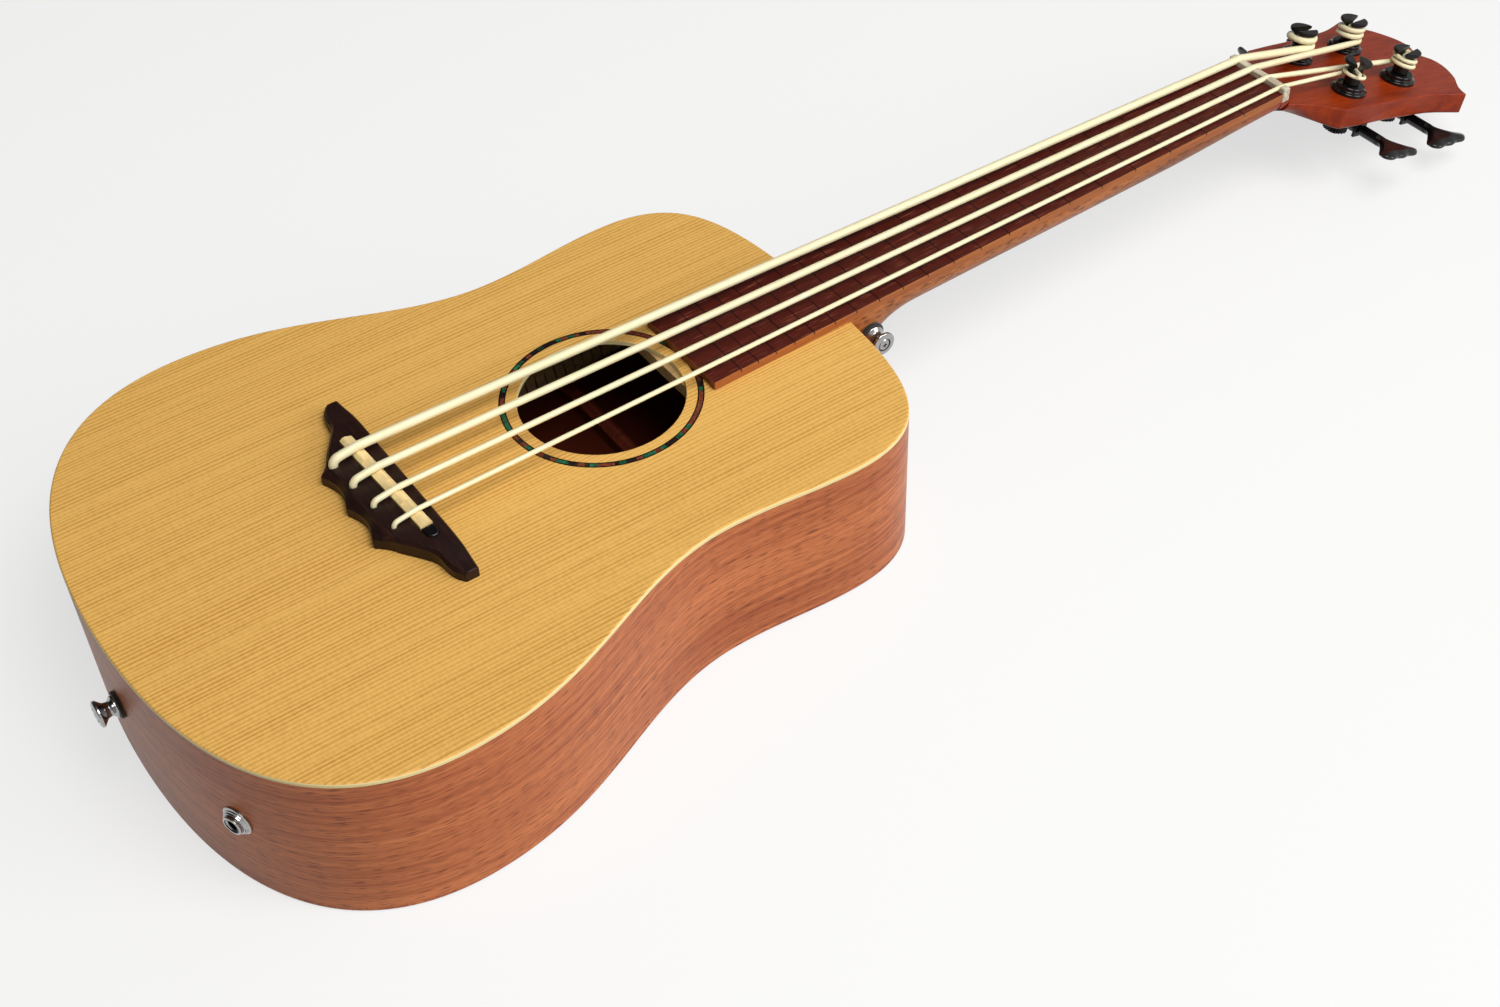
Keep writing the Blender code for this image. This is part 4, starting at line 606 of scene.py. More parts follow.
def board_wood(woods, _):
    """Dark red hardwood, planed and oiled: fine streaks, filled saw lines, and a bare pale edge."""
    made, tree, coords = start_finish("planed_red_hardwood_oiled", 0.42,
                                      Specular_IOR_Level=SATIN_WOOD_SHINE)
    streak = speckle(tree, coords, (700, 8, 300), 3.0, 0.3, 0.7, 0.0, 0.8)
    fibre = speckle(tree, coords, (2400, 50, 900), 2.0, 0.3, 0.7, -0.2, 0.3)
    tone = put(tree, "Math", streak, fibre, operation="ADD")
    fleck = speckle(tree, coords, (1700, 70, 900), 1.0, 0.62, 0.72, 0.0, 0.8)
    face = put(tree, "Mix", tone, woods.board_face, linear_colour("#3C120C"), data_type="RGBA")
    face = put(tree, "Mix", fleck, face, linear_colour("#8A4A3A"), data_type="RGBA")
    edge = put(tree, "Mix", tone, woods.board_edge, linear_colour("#95502A"), data_type="RGBA")
    on_edge = put(tree, "Attribute", attribute_name="edge", out="Fac")
    in_line = put(tree, "Attribute", attribute_name="line", out="Fac")
    colour = put(tree, "Mix", on_edge, face, edge, data_type="RGBA")
    colour = put(tree, "Mix", in_line, colour, linear_colour("#1A0B0A"), data_type="RGBA")
    return end_finish(made, colour, tone, 0.00005, 0.3)


def bridge_wood(woods, _):
    """Dark hardwood, carved and oiled: nearly black, with fine paler streaks along the bridge."""
    made, tree, coords = start_finish("carved_dark_hardwood_oiled", 0.4,
                                      Specular_IOR_Level=SATIN_WOOD_SHINE)
    coords = put(tree, "Mapping", coords, None, (0, 0, PI / 2))
    streak = speckle(tree, coords, (600, 10, 300), 3.0)
    fleck = speckle(tree, coords, (1700, 80, 900), 1.0, 0.6, 0.72, 0.0, 0.5)
    share = put(tree, "MapRange", streak, 0.35, 0.7)
    colour = put(tree, "Mix", share, woods.bridge_wood, linear_colour("#1B0F0E"), data_type="RGBA")
    colour = put(tree, "Mix", fleck, colour, linear_colour("#4A2E28"), data_type="RGBA")
    return end_finish(made, colour, streak, 0.00005, 0.3)


def shell_ring(_, fittings):
    """Dyed shell strips under lacquer: short uneven pieces between two black lines."""
    made, tree, coords = start_finish("dyed_shell_inlay_lacquered", 0.25)
    round_ring = put(tree, "Attribute", attribute_name="inlay", out="Vector")
    along = put(tree, "SeparateXYZ", round_ring, out="X")
    across = put(tree, "SeparateXYZ", round_ring, out="Y")
    count = put(tree, "Math", along, SHELLS_PER_METRE, operation="MULTIPLY")
    strip = put(tree, "TexVoronoi", count, 1.0, None, None, None, 0.95, out="Color",
                voronoi_dimensions="1D")
    chance = put(tree, "SeparateColor", strip, out="Red")
    shade_of = put(tree, "SeparateColor", strip, out="Green")
    colour = put(tree, "Mix", shade_of, fittings.inlay_green, linear_colour("#2C8058"),
                 data_type="RGBA")
    for share, tone in ((0.24, fittings.inlay_dark), (0.44, fittings.inlay_red)):
        past = put(tree, "MapRange", chance, share, share + 0.01)
        colour = put(tree, "Mix", past, colour, tone, data_type="RGBA")
    swirl = speckle(tree, coords, (900, 900, 900), 3.0, 0.4, 0.65, 0.0, 0.75)
    colour = put(tree, "Mix", swirl, colour, linear_colour("#140F0C"), data_type="RGBA")
    reach = put(tree, "Math", across, operation="ABSOLUTE")
    border = put(tree, "MapRange", reach, SHELL_HALF - 0.00005, SHELL_HALF)
    colour = put(tree, "Mix", border, colour, linear_colour("#0C0B0A"), data_type="RGBA")
    return end_finish(made, colour)


def bone(name, pale, streaked, share):
    """Bone, filed and polished: short streaks across its length and faint clouds."""
    made, tree, coords = start_finish(name, 0.34)
    streak = speckle(tree, coords, (60, 900, 500), 2.0, 0.45, 0.75, 0.0, share)
    cloud = speckle(tree, coords, (200, 200, 200), 2.0, 0.3, 0.7, 0.0, 0.3)
    tone = put(tree, "Math", streak, cloud, operation="ADD")
    return end_finish(made, put(tree, "Mix", tone, pale, streaked, data_type="RGBA"))


def yellow_bone(_, fittings):
    """Bone, yellowed: golden cream."""
    return bone("filed_yellow_bone_polished", fittings.saddle_tone, linear_colour("#D8AC64"), 0.4)


def grey_bone(_, fittings):
    """Bone, pale, with grey-brown streaks where it is filed."""
    return bone("filed_pale_bone_polished", fittings.nut_tone, linear_colour("#A08770"), 0.8)


def string_polymer(_, fittings):
    """Drawn polyurethane: creamy, faintly see-through, with a soft sheen."""
    made, tree, coords = start_finish("drawn_polyurethane_string", 0.42, Subsurface_Weight=0.15,
                                      Subsurface_Scale=0.002)
    cloud = speckle(tree, coords, (150, 40, 150), 2.0, 0.3, 0.7, 0.0, 0.35)
    colour = put(tree, "Mix", cloud, fittings.string_tone, linear_colour("#E2D79F"),
                 data_type="RGBA")
    dust = speckle(tree, coords, (4000, 4000, 4000), 1.0)
    return end_finish(made, colour, dust, SKIN_DEEP, 0.25)


def plain_surface(name, colour, roughness, metallic, mottle, grit, dent, **more):
    """A turned, moulded or plated surface: one colour with a fine mottle, and a skin with so many
    dents to a metre as grit says."""
    made, tree, coords = start_finish(name, roughness, metallic, **more)
    cloud = speckle(tree, coords, (260, 260, 260), 3.0, 0.35, 0.65)
    darker = [level * (1 - mottle) for level in colour[:3]] + [1.0]
    mixed = put(tree, "Mix", cloud, colour, darker, data_type="RGBA")
    skin = speckle(tree, coords, (grit, grit, grit), 2.0)
    return end_finish(made, mixed, skin, SKIN_DEEP, dent)


def black_gloss(_, fittings):
    """Black plated die casting, polished: nearly black, with crisp reflections."""
    return plain_surface("black_plated_die_casting", fittings.black_gloss, 0.14, 0.0, 0.3, 700,
                         0.12)


def black_moulding(_, fittings):
    """ABS, moulded glossy: the keys and the plug."""
    return plain_surface("glossy_moulded_abs", fittings.black_gloss, 0.17, 0.0, 0.25, 500, 0.15)


def satin_post(_, fittings):
    """Black nickel, tumbled: dark grey with a soft shine."""
    return plain_surface("tumbled_black_nickel", fittings.post_tone, 0.36, 0.85, 0.25, 1500, 0.3)


def black_plate(*_):
    """Steel, pressed and black plated: plates with their ears, and gears."""
    return plain_surface("pressed_black_plated_steel", linear_colour("#1B1A1B"), 0.3, 0.6, 0.3,
                         1200, 0.3)


def chrome(_, fittings):
    """Chromium plate on turned brass: a clear mirror."""
    return plain_surface("chromium_plated_turning", fittings.chrome_tone, 0.09, 1.0, 0.06, 300,
                         0.08)


def brass(*_):
    """Brass, cut and left bare: warm metal with tool marks."""
    return plain_surface("cut_bare_brass", linear_colour("#B8944A"), 0.32, 1.0, 0.2, 1800, 0.4)


def felt(*_):
    """Pressed wool felt: black, dull and hairy."""
    return plain_surface("pressed_wool_felt", linear_colour("#15130F"), 0.95, 0.0, 0.4, 2600, 1.0,
                         Sheen_Weight=0.4)


def cable(*_):
    """PVC, drawn over a thin screened lead: black and slightly soft."""
    return plain_surface("drawn_pvc_sheath", linear_colour("#1B1B1B"), 0.5, 0.0, 0.2, 900, 0.3)


FINISH_MAKERS = {
    "top": spruce_top, "sides": mahogany_sides, "back": mahogany_back, "inside": mahogany_inside_painted_shade,
    "neck": mahogany_neck, "inner": bare_spruce, "board": board_wood, "bridge": bridge_wood,
    "ring": shell_ring, "saddle": yellow_bone, "nut": grey_bone, "string": string_polymer,
    "gloss": black_gloss, "moulding": black_moulding, "post": satin_post, "plate": black_plate,
    "chrome": chrome, "brass": brass, "felt": felt, "cable": cable,
}
FINISHES = {}


def finish(name):
    """A finish by its short name, made the first time that it is asked for."""
    if name not in FINISHES:
        scene = bpy.context.scene
        FINISHES[name] = FINISH_MAKERS[name](scene.bass_ukulele_woods, scene.bass_ukulele_fittings)
    return FINISHES[name]


# Body pieces
def lay_soundboard():
    """Loops round the hole: its wall, the ring's groove, the face out to the outline, and back."""
    edge = whole_outline()
    way = unit(edge - (0, HOLE_Y))

    def loop(radius, z):
        """A circle about the hole, with one point for each of the outline's."""
        spots = way * radius + (0, HOLE_Y)
        return np.column_stack([spots, np.full(len(spots), z)])

    def rim(inset, z):
        """The outline moved in by inset, at height z."""
        return np.column_stack([whole_outline(inset), np.full(len(edge), z)])

    def between(inner, outer, shares):
        """Loops at shares of the way from one loop to the other."""
        return [inner * (1 - s) + outer * s for s in shares]

    arc = np.linspace(0, PI / 2, 7)
    rows = [loop(HOLE_R, -PLATE), loop(HOLE_R, -0.35)]
    rows += [loop(HOLE_R + 0.35 * (1 - np.cos(a)), -0.35 * (1 - np.sin(a))) for a in arc[1:]]
    rows += [loop(RING_IN - 0.1, 0), loop(RING_IN, 0), loop(RING_IN, -RING_DEEP),
             loop(RING_OUT, -RING_DEEP), loop(RING_OUT, 0), loop(RING_OUT + 0.1, 0)]
    flat_edge = rim(PLATE_ROUND, 0)
    rows += between(rows[-1], rim(PLATE_ROUND + 0.3, 0), np.linspace(0, 1, 12)[1:]) + [flat_edge]
    rows += [rim(PLATE_ROUND * (1 - np.sin(a)), -PLATE_ROUND * (1 - np.cos(a))) for a in arc[1:]]
    rows += [rim(0, -PLATE + 0.2), rim(0.2, -PLATE)]
    rows += between(rim(0.5, -PLATE), loop(HOLE_R, -PLATE), np.linspace(0, 1, 6))
    rim_and_highlight_share = np.zeros((len(rows), len(edge)))
    # the wall of the hole, and all from half way down the round edge, take the pale edge colour,
    # partly the cut edge's tone and partly a painted highlight
    rim_and_highlight_share[:5] = rim_and_highlight_share[-11:] = 1
    mesh = shape_mesh("soundboard", [in_world(np.array(rows))], marks={"rim": [rim_and_highlight_share]},
                      sharp=40)
    piece("soundboard_face", cut(mesh, string_holes(-6, 3), 40), finish("top"),
          stands_for=["soundboard"])


def lay_ring():
    """A flat ring of shell pieces: one section turned round the hole, from under the board."""
    angle = np.linspace(0, 2 * PI, 361) + PI / 2
    section = np.array([(RING_IN, -1.2), (RING_IN, 0), (RING_IN + 0.05, 0.02),
                        (RING_OUT - 0.05, 0.02),
                        (RING_OUT, 0), (RING_OUT, -1.2), (RING_IN, -1.2)])
    radius, height = section.T[:, :, None]
    points = grid(radius * np.cos(angle), radius * np.sin(angle) + HOLE_Y, height)
    middle = (RING_IN + RING_OUT) / 2
    inlay = grid((angle - PI / 2) * middle * 0.001, (radius - middle) * 0.001, 0.0)
    mesh = shape_mesh("ring", [in_world(points)], False, {"inlay": [inlay]})
    piece("shell_ring_inlay", mesh, finish("ring"), stands_for=["rosette"])


def bend_sides():
    """The wall: a thin upright section carried along half the outline, from plate to plate."""
    outer, inner = half_outline(), half_outline(WALL)
    far = travelled(outer)
    low_out, low_in = back_face(outer[:, 1]) + PLATE, back_face(inner[:, 1]) + PLATE
    shares = np.linspace(0, 1, 9)
    outside = [np.column_stack([outer, low_out * (1 - s) - PLATE * s]) for s in shares]
    inside = [np.column_stack([inner, low_in * (1 - s) - PLATE * s]) for s in shares[::-1]]
    loops = np.stack(outside + inside, 1)
    depth = np.array([0.0] * 9 + [0.002] * 9)
    along = np.concatenate([[0], far, far[-1:]])[:, None] * 0.001
    for side, sign in SIDES.items():
        points = in_world(ends_closed(loops * (sign, 1, 1)))
        grain = grid(points[..., 2] + 0.3 * sign, along, depth)
        mesh = shape_mesh("side_" + side, [points], marks={"grain": [grain]})
        piece("bent_side_" + side, mesh, finish("sides"), stands_for=["side_" + side])


def lay_back():
    """The back: loops from the middle out to the outline, rounded at both edges."""
    def rim(inset, up):
        """The outline moved in by inset, up from the sloping back's outer face."""
        spots = whole_outline(inset)
        return np.column_stack([spots, back_face(spots[:, 1]) + up])

    def to_middle(row, up, shares):
        """Loops at shares of the way from the back's middle to a loop."""
        middle = np.array([0, BACK_CENTRE_Y, back_face(BACK_CENTRE_Y) + up])
        return [middle + (row - middle) * s for s in shares]

    arc = np.linspace(0, PI / 2, 6)
    shares = np.linspace(0, 1, 9)
    rows = to_middle(rim(0.5, PLATE), PLATE, shares) + [rim(0.25, PLATE), rim(0, PLATE - 0.25)]
    rows += [rim(PLATE_ROUND * (1 - np.cos(a)), PLATE_ROUND * (1 - np.sin(a))) for a in arc]
    rows += to_middle(rim(PLATE_ROUND + 0.3, 0), 0, shares[::-1])
    # the inner face's rows, which the finish darkens as painted shade
    inside = np.zeros(np.shape(rows)[:2])
    inside[:len(shares)] = 1
    mesh = shape_mesh("back", [in_world(np.array(rows))], marks={"inside": [inside]}, sharp=40)
    piece("back_plate_face", mesh, finish("back"), stands_for=["back_plate"])


def glue_linings():
    """A strip along the wall, sawn almost through at even steps into small tabs."""
    outline = half_outline(WALL)
    far = travelled(outline)
    tab, gap, web, lip_wide, glue = 5.4, 1.0, 1.2, 1.6, 0.02
    starts = np.arange(2.0, far[-1] - 8, tab + gap)
    stations = np.stack([starts, starts + 0.01, starts + tab, starts + tab + 0.01], 1).ravel()
    thick = np.tile([web, LINING_WIDE, LINING_WIDE, web], len(starts))
    wall, outer = (np.stack([np.interp(stations, far, column) for column in line.T], 1)
                   for line in (outline, half_outline()))
    ahead = unit(np.gradient(outer, axis=0))
    inward = -np.stack([ahead[:, 1], -ahead[:, 0]], 1)
    block = np.where(wall[:, 1] < 0, BLOCK_HALVES["tail"], BLOCK_HALVES["neck"])
    keep = np.abs(wall[:, 0]) > block
    wall, inward, thick = wall[keep], inward[keep], thick[keep]
    inner = wall + inward * thick[:, None]
    lip = wall + inward * np.minimum(thick, lip_wide)[:, None]
    for side, sign in SIDES.items():
        for plate in ("top", "back"):
            if plate == "top":
                near = [np.full(len(wall), -PLATE - glue)] * 3
                far_z = [near[0] - 3.5, near[0] - LINING_HIGH, near[0] - LINING_HIGH]
            else:
                near = [back_face(p[:, 1]) + PLATE + glue for p in (wall, inner, inner)]
                far_z = [near[1] + 3.5, back_face(lip[:, 1]) + PLATE + LINING_HIGH,
                         back_face(wall[:, 1]) + PLATE + LINING_HIGH]
            corners = ((wall, near[0]), (inner, near[1]), (inner, far_z[0]), (lip, far_z[1]),
                       (wall, far_z[2]))
            loop = [np.column_stack(corner) for corner in corners]
            points = in_world(ends_closed(np.stack(loop, 1) * (sign, 1, 1)))
            name = f"{plate}_lining_{side}"
            piece("sawn_" + name, shape_mesh(name, [points]), finish("inner"), stands_for=[name],
                  weighted=False)


def finish_inside():
    """Braces, blocks and the plate under the bridge keep their solids, in their own woods; the
    back's braces take mahogany darkened as painted shade.
    """
    for node in NODES:
        if node.startswith("back_brace"):
            # back braces: mahogany darkened as painted shade inside the body
            show_in(node, "inside")
        elif "brace" in node:
            show_in(node, "inner")
        elif node.endswith("_block") or node == "bridge_plate":
            show_in(node, "back")
        elif node == "pickup_strip":
            show_in(node, "brass")


def show_in(node, name):
    """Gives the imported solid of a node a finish, by its short name."""
    shown = NODES[node]
    for holder in shown.material_slots:
        holder.material = finish(name)
    if not shown.material_slots:
        shown.data.materials.append(finish(name))


# Neck and fingerboard
def board_half(y):
    """Half the fingerboard's width, which grows evenly from the nut to its last line."""
    share = (SCALE - y) / (SCALE - SCALE * 2 ** (-FRET_LINES / 12))
    return (NUT_WIDE + (LINE_20_WIDE - NUT_WIDE) * share) / 2


def neck_depth(y):
    """Nearly even along the neck, shallower at the nut, and a cube's curve down into the heel."""
    heel_start = NECK_END_Y + HEEL_LONG
    share = np.clip((y - heel_start) / (SCALE - heel_start), 0, 1)
    plain = 19 - 2 * share - 4.6 * eased((y - 470) / 90)
    rise = np.clip((heel_start - y) / HEEL_LONG, 0, 1)
    deepest = -back_face(NECK_END_Y) - 3
    return plain + (deepest - plain) * rise ** 3


def heel_half(y, z):
    """Half the neck's width at y and height z, on its rounded D."""
    share = min(1, abs(z) / neck_depth(y))
    return board_half(y) * np.sqrt(1 - share ** (2 / ROUNDNESS))


def round_section(t):
    """A rounded D: sides and underside in one sweep, as shares of half width and depth."""
    return -np.cos(PI * t), np.sin(PI * t) ** ROUNDNESS


def slab_section(t, half, thick, bend=1.6):
    """A slab's sides and underside with rounded lower edges, as shares of half width and depth."""
    t = np.where(t > 0.5, 1 - t, t)
    side = np.clip(t / 0.2, 0, 1)
    arc = np.clip((t - 0.2) / 0.08, 0, 1) * PI / 2
    flat = np.clip((t - 0.28) / 0.22, 0, 1)
    x = -half + bend * (1 - np.cos(arc)) + (half - bend) * flat
    z = (thick - bend) * side + bend * np.sin(arc)
    return x / half, z / thick


def carve_neck():
    """Neck and head in one sweep: each station has a top line, a depth, and a section that
    changes from a rounded D under the fingerboard to a flat slab with round edges in the head."""
    t = np.linspace(0, 1, 61)
    mirror = np.where(t > 0.5, -1, 1)
    d_x, d_z = round_section(t)
    top_shares = np.linspace(1, -1, 25)[1:-1]
    rows = []

    def ring(top, low, half, boxy, soft):
        """One loop: the underside between top and low, then back over the flat top."""
        thick = np.linalg.norm(low - top)
        s_x, s_z = slab_section(t, half, thick)
        x = (1 - boxy) * d_x + boxy * s_x * mirror
        z = (1 - boxy) * d_z + boxy * s_z
        down = (low - top) / thick
        sides = top + x[:, None] * half * (1, 0, 0) + (soft + z * (thick - soft))[:, None] * down
        over = [top + s * (half - soft) * np.array([1, 0, 0]) for s in top_shares]
        edge_r = [top + np.array([half - soft * (1 - np.cos(a)), 0, 0])
                  + down * soft * (1 - np.sin(a))
                  for a in (PI / 6, PI / 3, PI / 2)]
        edge_l = [p * (-1, 1, 1) for p in edge_r[::-1]]
        return np.concatenate([sides, edge_r, over, edge_l])

    heel = NECK_END_Y + np.concatenate([np.linspace(-3.5, 12, 12), np.linspace(15, HEEL_LONG, 14)])
    shaft = np.linspace(NECK_END_Y + HEEL_LONG, SCALE - 0.3, 36)[1:]
    for y in np.concatenate([heel, shaft]):
        rows.append(ring(np.array([0, y, BOARD_LOW]), np.array([0, y, -neck_depth(y)]),
                         board_half(y), 0, CRISP))
    under = neck_depth(SCALE)
    for y, down_y in ((559.7, 559.7), (562, 562), (564.5, 563.5), (566.6, 564.6)):
        rows.append(ring(np.array([0, y, -1.0]), np.array([0, down_y, -under]), 21.85, 0, CRISP))
    places = np.concatenate([np.linspace(0, HEAD_SHOULDER, 16),
                             np.linspace(HEAD_SHOULDER + 0.2, HEAD_SPLIT, 5)])
    for v in places:
        thick = np.interp(v, [0, 8, 16, HEAD_SHOULDER], [under - 3.2, 10.4, 11.6, HEAD_THICK])
        half = flowing(HEAD_NECK_SIDE if v <= HEAD_SHOULDER else HEAD_SIDE, v)
        top = HEAD_AT + HEAD_V * v
        low = top - HEAD_N * thick - HEAD_V * 1.6 * (1 - v / HEAD_SPLIT)
        rows.append(ring(top, low, half, eased((v - 2) / 30), SOFT))
    for share in np.linspace(0, 1, 46)[1:]:
        v = HEAD_SPLIT + share * (HEAD_LAST - HEAD_SPLIT)
        half = flowing(HEAD_SIDE, v)
        top = HEAD_AT + HEAD_V * v
        row = ring(top, top - HEAD_N * HEAD_THICK, half, 1, SOFT)
        reach = np.abs(row[:, 0]) / half
        end = flowing(HEAD_END, reach * HEAD_END_HALF)
        ahead = HEAD_SPLIT + share * (end - HEAD_SPLIT) - v
        rows.append(row + ahead[:, None] * HEAD_V)
    rows = np.array(rows)
    outline = half_outline(1.7)[::-1]
    heel_rows = rows[:len(heel)]
    wall_y = np.interp(np.abs(heel_rows[..., 0]), outline[:120, 0], outline[:120, 1])
    heel_rows[..., 1] = np.maximum(heel_rows[..., 1], wall_y)
    mesh = shape_mesh("neck", [in_world(neck_ends(rows))], sharp=32)
    piece("neck_and_head", mesh, finish("neck"), stands_for=["neck"])


def neck_ends(rows):
    """Closes the heel on a middle point, and the head's end across from face to underside."""
    start = np.broadcast_to(rows[0].mean(0), rows[0].shape)
    last = rows[-1]
    middle = last.copy()
    # each end point moves to half the slab's height, at its own place across
    out = (last - HEAD_AT) @ HEAD_N
    middle -= (out + HEAD_THICK / 2)[:, None] * HEAD_N
    return np.concatenate([start[None], rows, middle[None]])


def plane_board():
    """The fingerboard: stations along it, close together at each saw line, of one section."""
    lines = SCALE * 2.0 ** (-np.arange(1, FRET_LINES + 1) / 12)
    near = np.array([-LINE_HALF - 0.02, -LINE_HALF, LINE_HALF, LINE_HALF + 0.02])
    plain = np.linspace(BOARD_END + 0.3, SCALE - 0.3, 60)
    plain = plain[np.abs(plain[:, None] - lines).min(1) > 1.0]
    stations = np.concatenate([(lines[:, None] + near).ravel(), plain])
    sunk = np.concatenate([np.tile([0.0, 1.0, 1.0, 0.0], len(lines)), np.zeros(len(plain))])
    order = np.argsort(stations)
    stations, sunk = stations[order], sunk[order][:, None]
    arris = 0.3
    arc = np.linspace(0, PI / 2, 4)
    inset = np.concatenate([[0, 0, 0], arris * (1 - np.cos(arc))])
    level = np.concatenate([[BOARD_LOW, BOARD_TOP - LINE_DEEP - 0.02, BOARD_TOP - LINE_DEEP],
                            BOARD_TOP - arris * (1 - np.sin(arc))])
    in_line = np.array([0, 0, 1, 1, 1, 1, 1])
    on_edge = np.array([1, 1, 1, 1, 1, 1, 0.0])
    face = np.linspace(1, 0, 8)
    half = board_half(stations)[:, None]
    side_x = half - inset - sunk * in_line * 0.08
    side_z = level - sunk * in_line * 0.10 * (np.arange(7) > 4)
    top_x = (half - arris - 0.03) * face
    top_z = BOARD_TOP - sunk * 0.10 + 0 * top_x
    xs = np.concatenate([side_x, top_x], 1)
    zs = np.concatenate([side_z, top_z], 1)
    line = np.concatenate([sunk * in_line, sunk + 0 * top_x], 1)
    edge = np.concatenate([on_edge + 0 * side_x, 0 * top_x], 1)
    ys = stations[:, None] + 0 * xs

    def both_sides(values, sign=1):
        """Values over one half, then over the other in reverse."""
        return np.concatenate([values, sign * values[:, -2::-1]], 1)

    points = grid(both_sides(xs, -1), both_sides(ys), both_sides(zs))
    line, edge = both_sides(line), both_sides(edge)
    # the end nearest the sound hole: a broken edge, then its flat face
    first = points[0].copy()
    middle = np.array([0, BOARD_END + 0.3, (BOARD_LOW + BOARD_TOP) / 2])
    first = middle + (first - middle) * (1 - 0.25 / 30, 1, 1 - 0.25 / 2.4) - (0, 0.3, 0)
    inner = middle + (first - middle) * (0.99, 1, 0.94)
    points = np.concatenate([inner[None], first[None], points])
    line = np.concatenate([line[:1] * 0, line[:1] * 0, line])
    edge = np.concatenate([edge[:1] * 0 + 0.35, edge[:1] * 0 + 0.8, edge])
    closed = ends_closed(points)
    line = np.concatenate([line[:1], line, line[-1:]])
    edge = np.concatenate([edge[:1], edge, edge[-1:]])
    mesh = shape_mesh("board", [in_world(closed)], marks={"line": [line], "edge": [edge]})
    piece("planed_fingerboard", mesh, finish("board"), stands_for=["fingerboard"])


def file_nut():
    """The nut: one section carried across, its top lowered to a round groove at each string."""
    arc = np.sin(np.linspace(-PI / 2, PI / 2, 15))
    spots = [np.linspace(-NUT_HALF + 0.5, NUT_HALF - 0.5, 90)]
    for s in STRINGS.values():
        radius = s["thick"] / 2 + NUT_GAP
        spots += [s["nut"] + radius * arc, [s["nut"] - radius - 0.02, s["nut"] + radius + 0.02]]
    xs = np.unique(np.concatenate(spots))
    top = np.full(len(xs), NUT_TOP)
    for key, s in STRINGS.items():
        radius = s["thick"] / 2 + NUT_GAP
        x, _, centre = nut_point(key)
        off = np.abs(xs - x)
        drop = centre - np.sqrt(np.clip(radius ** 2 - off ** 2, 0, None))
        top = np.where(off <= radius, np.minimum(top, drop), top)
    arc = np.linspace(0, PI / 2, 5)
    front, rear = SCALE, SCALE + NUT_LONG
    ys = np.concatenate([[front], front + 0.5 * (1 - np.cos(arc)), rear - 1.5 * (1 - np.sin(arc)),
                         [rear]])
    fall = np.concatenate([0.5 * (1 - np.sin(arc)), 1.5 * (1 - np.cos(arc))])
    height = np.pad(top[:, None] - fall, ((0, 0), (1, 1)), constant_values=NUT_LOW)
    rows = grid(xs[:, None], ys, height)
    rows = tapered_ends(rows, NUT_HALF, (1, 0.86, 0.93))
    piece("filed_nut", shape_mesh("nut", [in_world(ends_closed(rows))], sharp=50), finish("nut"),
          stands_for=["nut"])


# Bridge, saddle and plug
def saddle_y(x):
    """The middle line of the saddle, which lies slantwise on the bridge."""
    share = (x - SADDLE_ENDS[0]) / (SADDLE_ENDS[1] - SADDLE_ENDS[0])
    return SADDLE_YS[0] + (SADDLE_YS[1] - SADDLE_YS[0]) * share


def carve_bridge():
    """The bridge: sections across it whose rear edge follows two arcs between three points, then
    swept wings, and whose height eases down to the tips; slot and string holes are cut last."""
    half = np.unique(np.concatenate([np.linspace(0, 26, 27), np.linspace(26, 69.6, 60),
                                     [31, 31.3]]))
    xs = np.concatenate([-half[:0:-1], half])
    reach = np.abs(xs)
    rear = np.where(reach <= 26, -27 + 3.6 * np.sin(PI * reach / 26), flowing(WING, reach))
    front = 5 - np.clip((reach - 55) / 15, 0, 1)
    top = BRIDGE_TOP - 2.6 * eased((reach - 44) / 26)
    ledge = np.maximum(rear + 1.6, -21.5)
    drop = np.interp(reach, [31, 33], [3.0, 1.6])
    zero = 0 * xs
    loops = np.stack([np.stack(p, 1) for p in (
        (front, zero), (front, top - 0.9), (front - 0.9, top), (ledge, top), (rear, top - drop),
        (rear, zero))], 1)
    broken = corners_broken(loops, 0.12)
    rows = np.concatenate([np.broadcast_to(xs[:, None, None], (*broken.shape[:2], 1)), broken], 2)
    rows = tapered_ends(rows, BRIDGE_TIP_X, (1, 0.88, 0.93), about=(1, 1, 0))
    mesh = shape_mesh("bridge", [in_world(ends_closed(rows))], sharp=25)
    tools = list(string_holes(-3, 15))
    gap = 0.3
    slot = [on_saddle(plug_loop(-gap, SADDLE_ENDS[0] - gap - SADDLE_MIDDLE), z)
            for z in (SLOT_FLOOR, 20)]
    tools.append(shape_mesh("slot", [in_world(ends_closed(np.array(slot)))]))
    piece("carved_bridge", cut(mesh, tools, 25), finish("bridge"), stands_for=["bridge"])


def on_saddle(loop, z):
    """Points along and across the slanted saddle, at height z, as instrument points."""
    slant = np.arctan2(SADDLE_YS[1] - SADDLE_YS[0], SADDLE_ENDS[1] - SADDLE_ENDS[0])
    along, across = loop[..., 0], loop[..., 1]
    x = SADDLE_MIDDLE + along * np.cos(slant) - across * np.sin(slant)
    y = saddle_y(SADDLE_MIDDLE) + along * np.sin(slant) + across * np.cos(slant)
    return grid(x, y, z)


def plug_loop(inset, start):
    """A bar with one round end, moved in by inset: two corners and half a circle."""
    radius = SADDLE_WIDE / 2 - inset
    end = SADDLE_ENDS[1] + PLUG_LONG + 0.3 - SADDLE_MIDDLE - inset
    angle = np.linspace(-PI / 2, PI / 2, 25)
    arc = np.column_stack([end - radius + radius * np.cos(angle), radius * np.sin(angle)])
    start = start + max(inset, 0)
    return np.concatenate([arc, [(start, radius), (start, -radius)]])


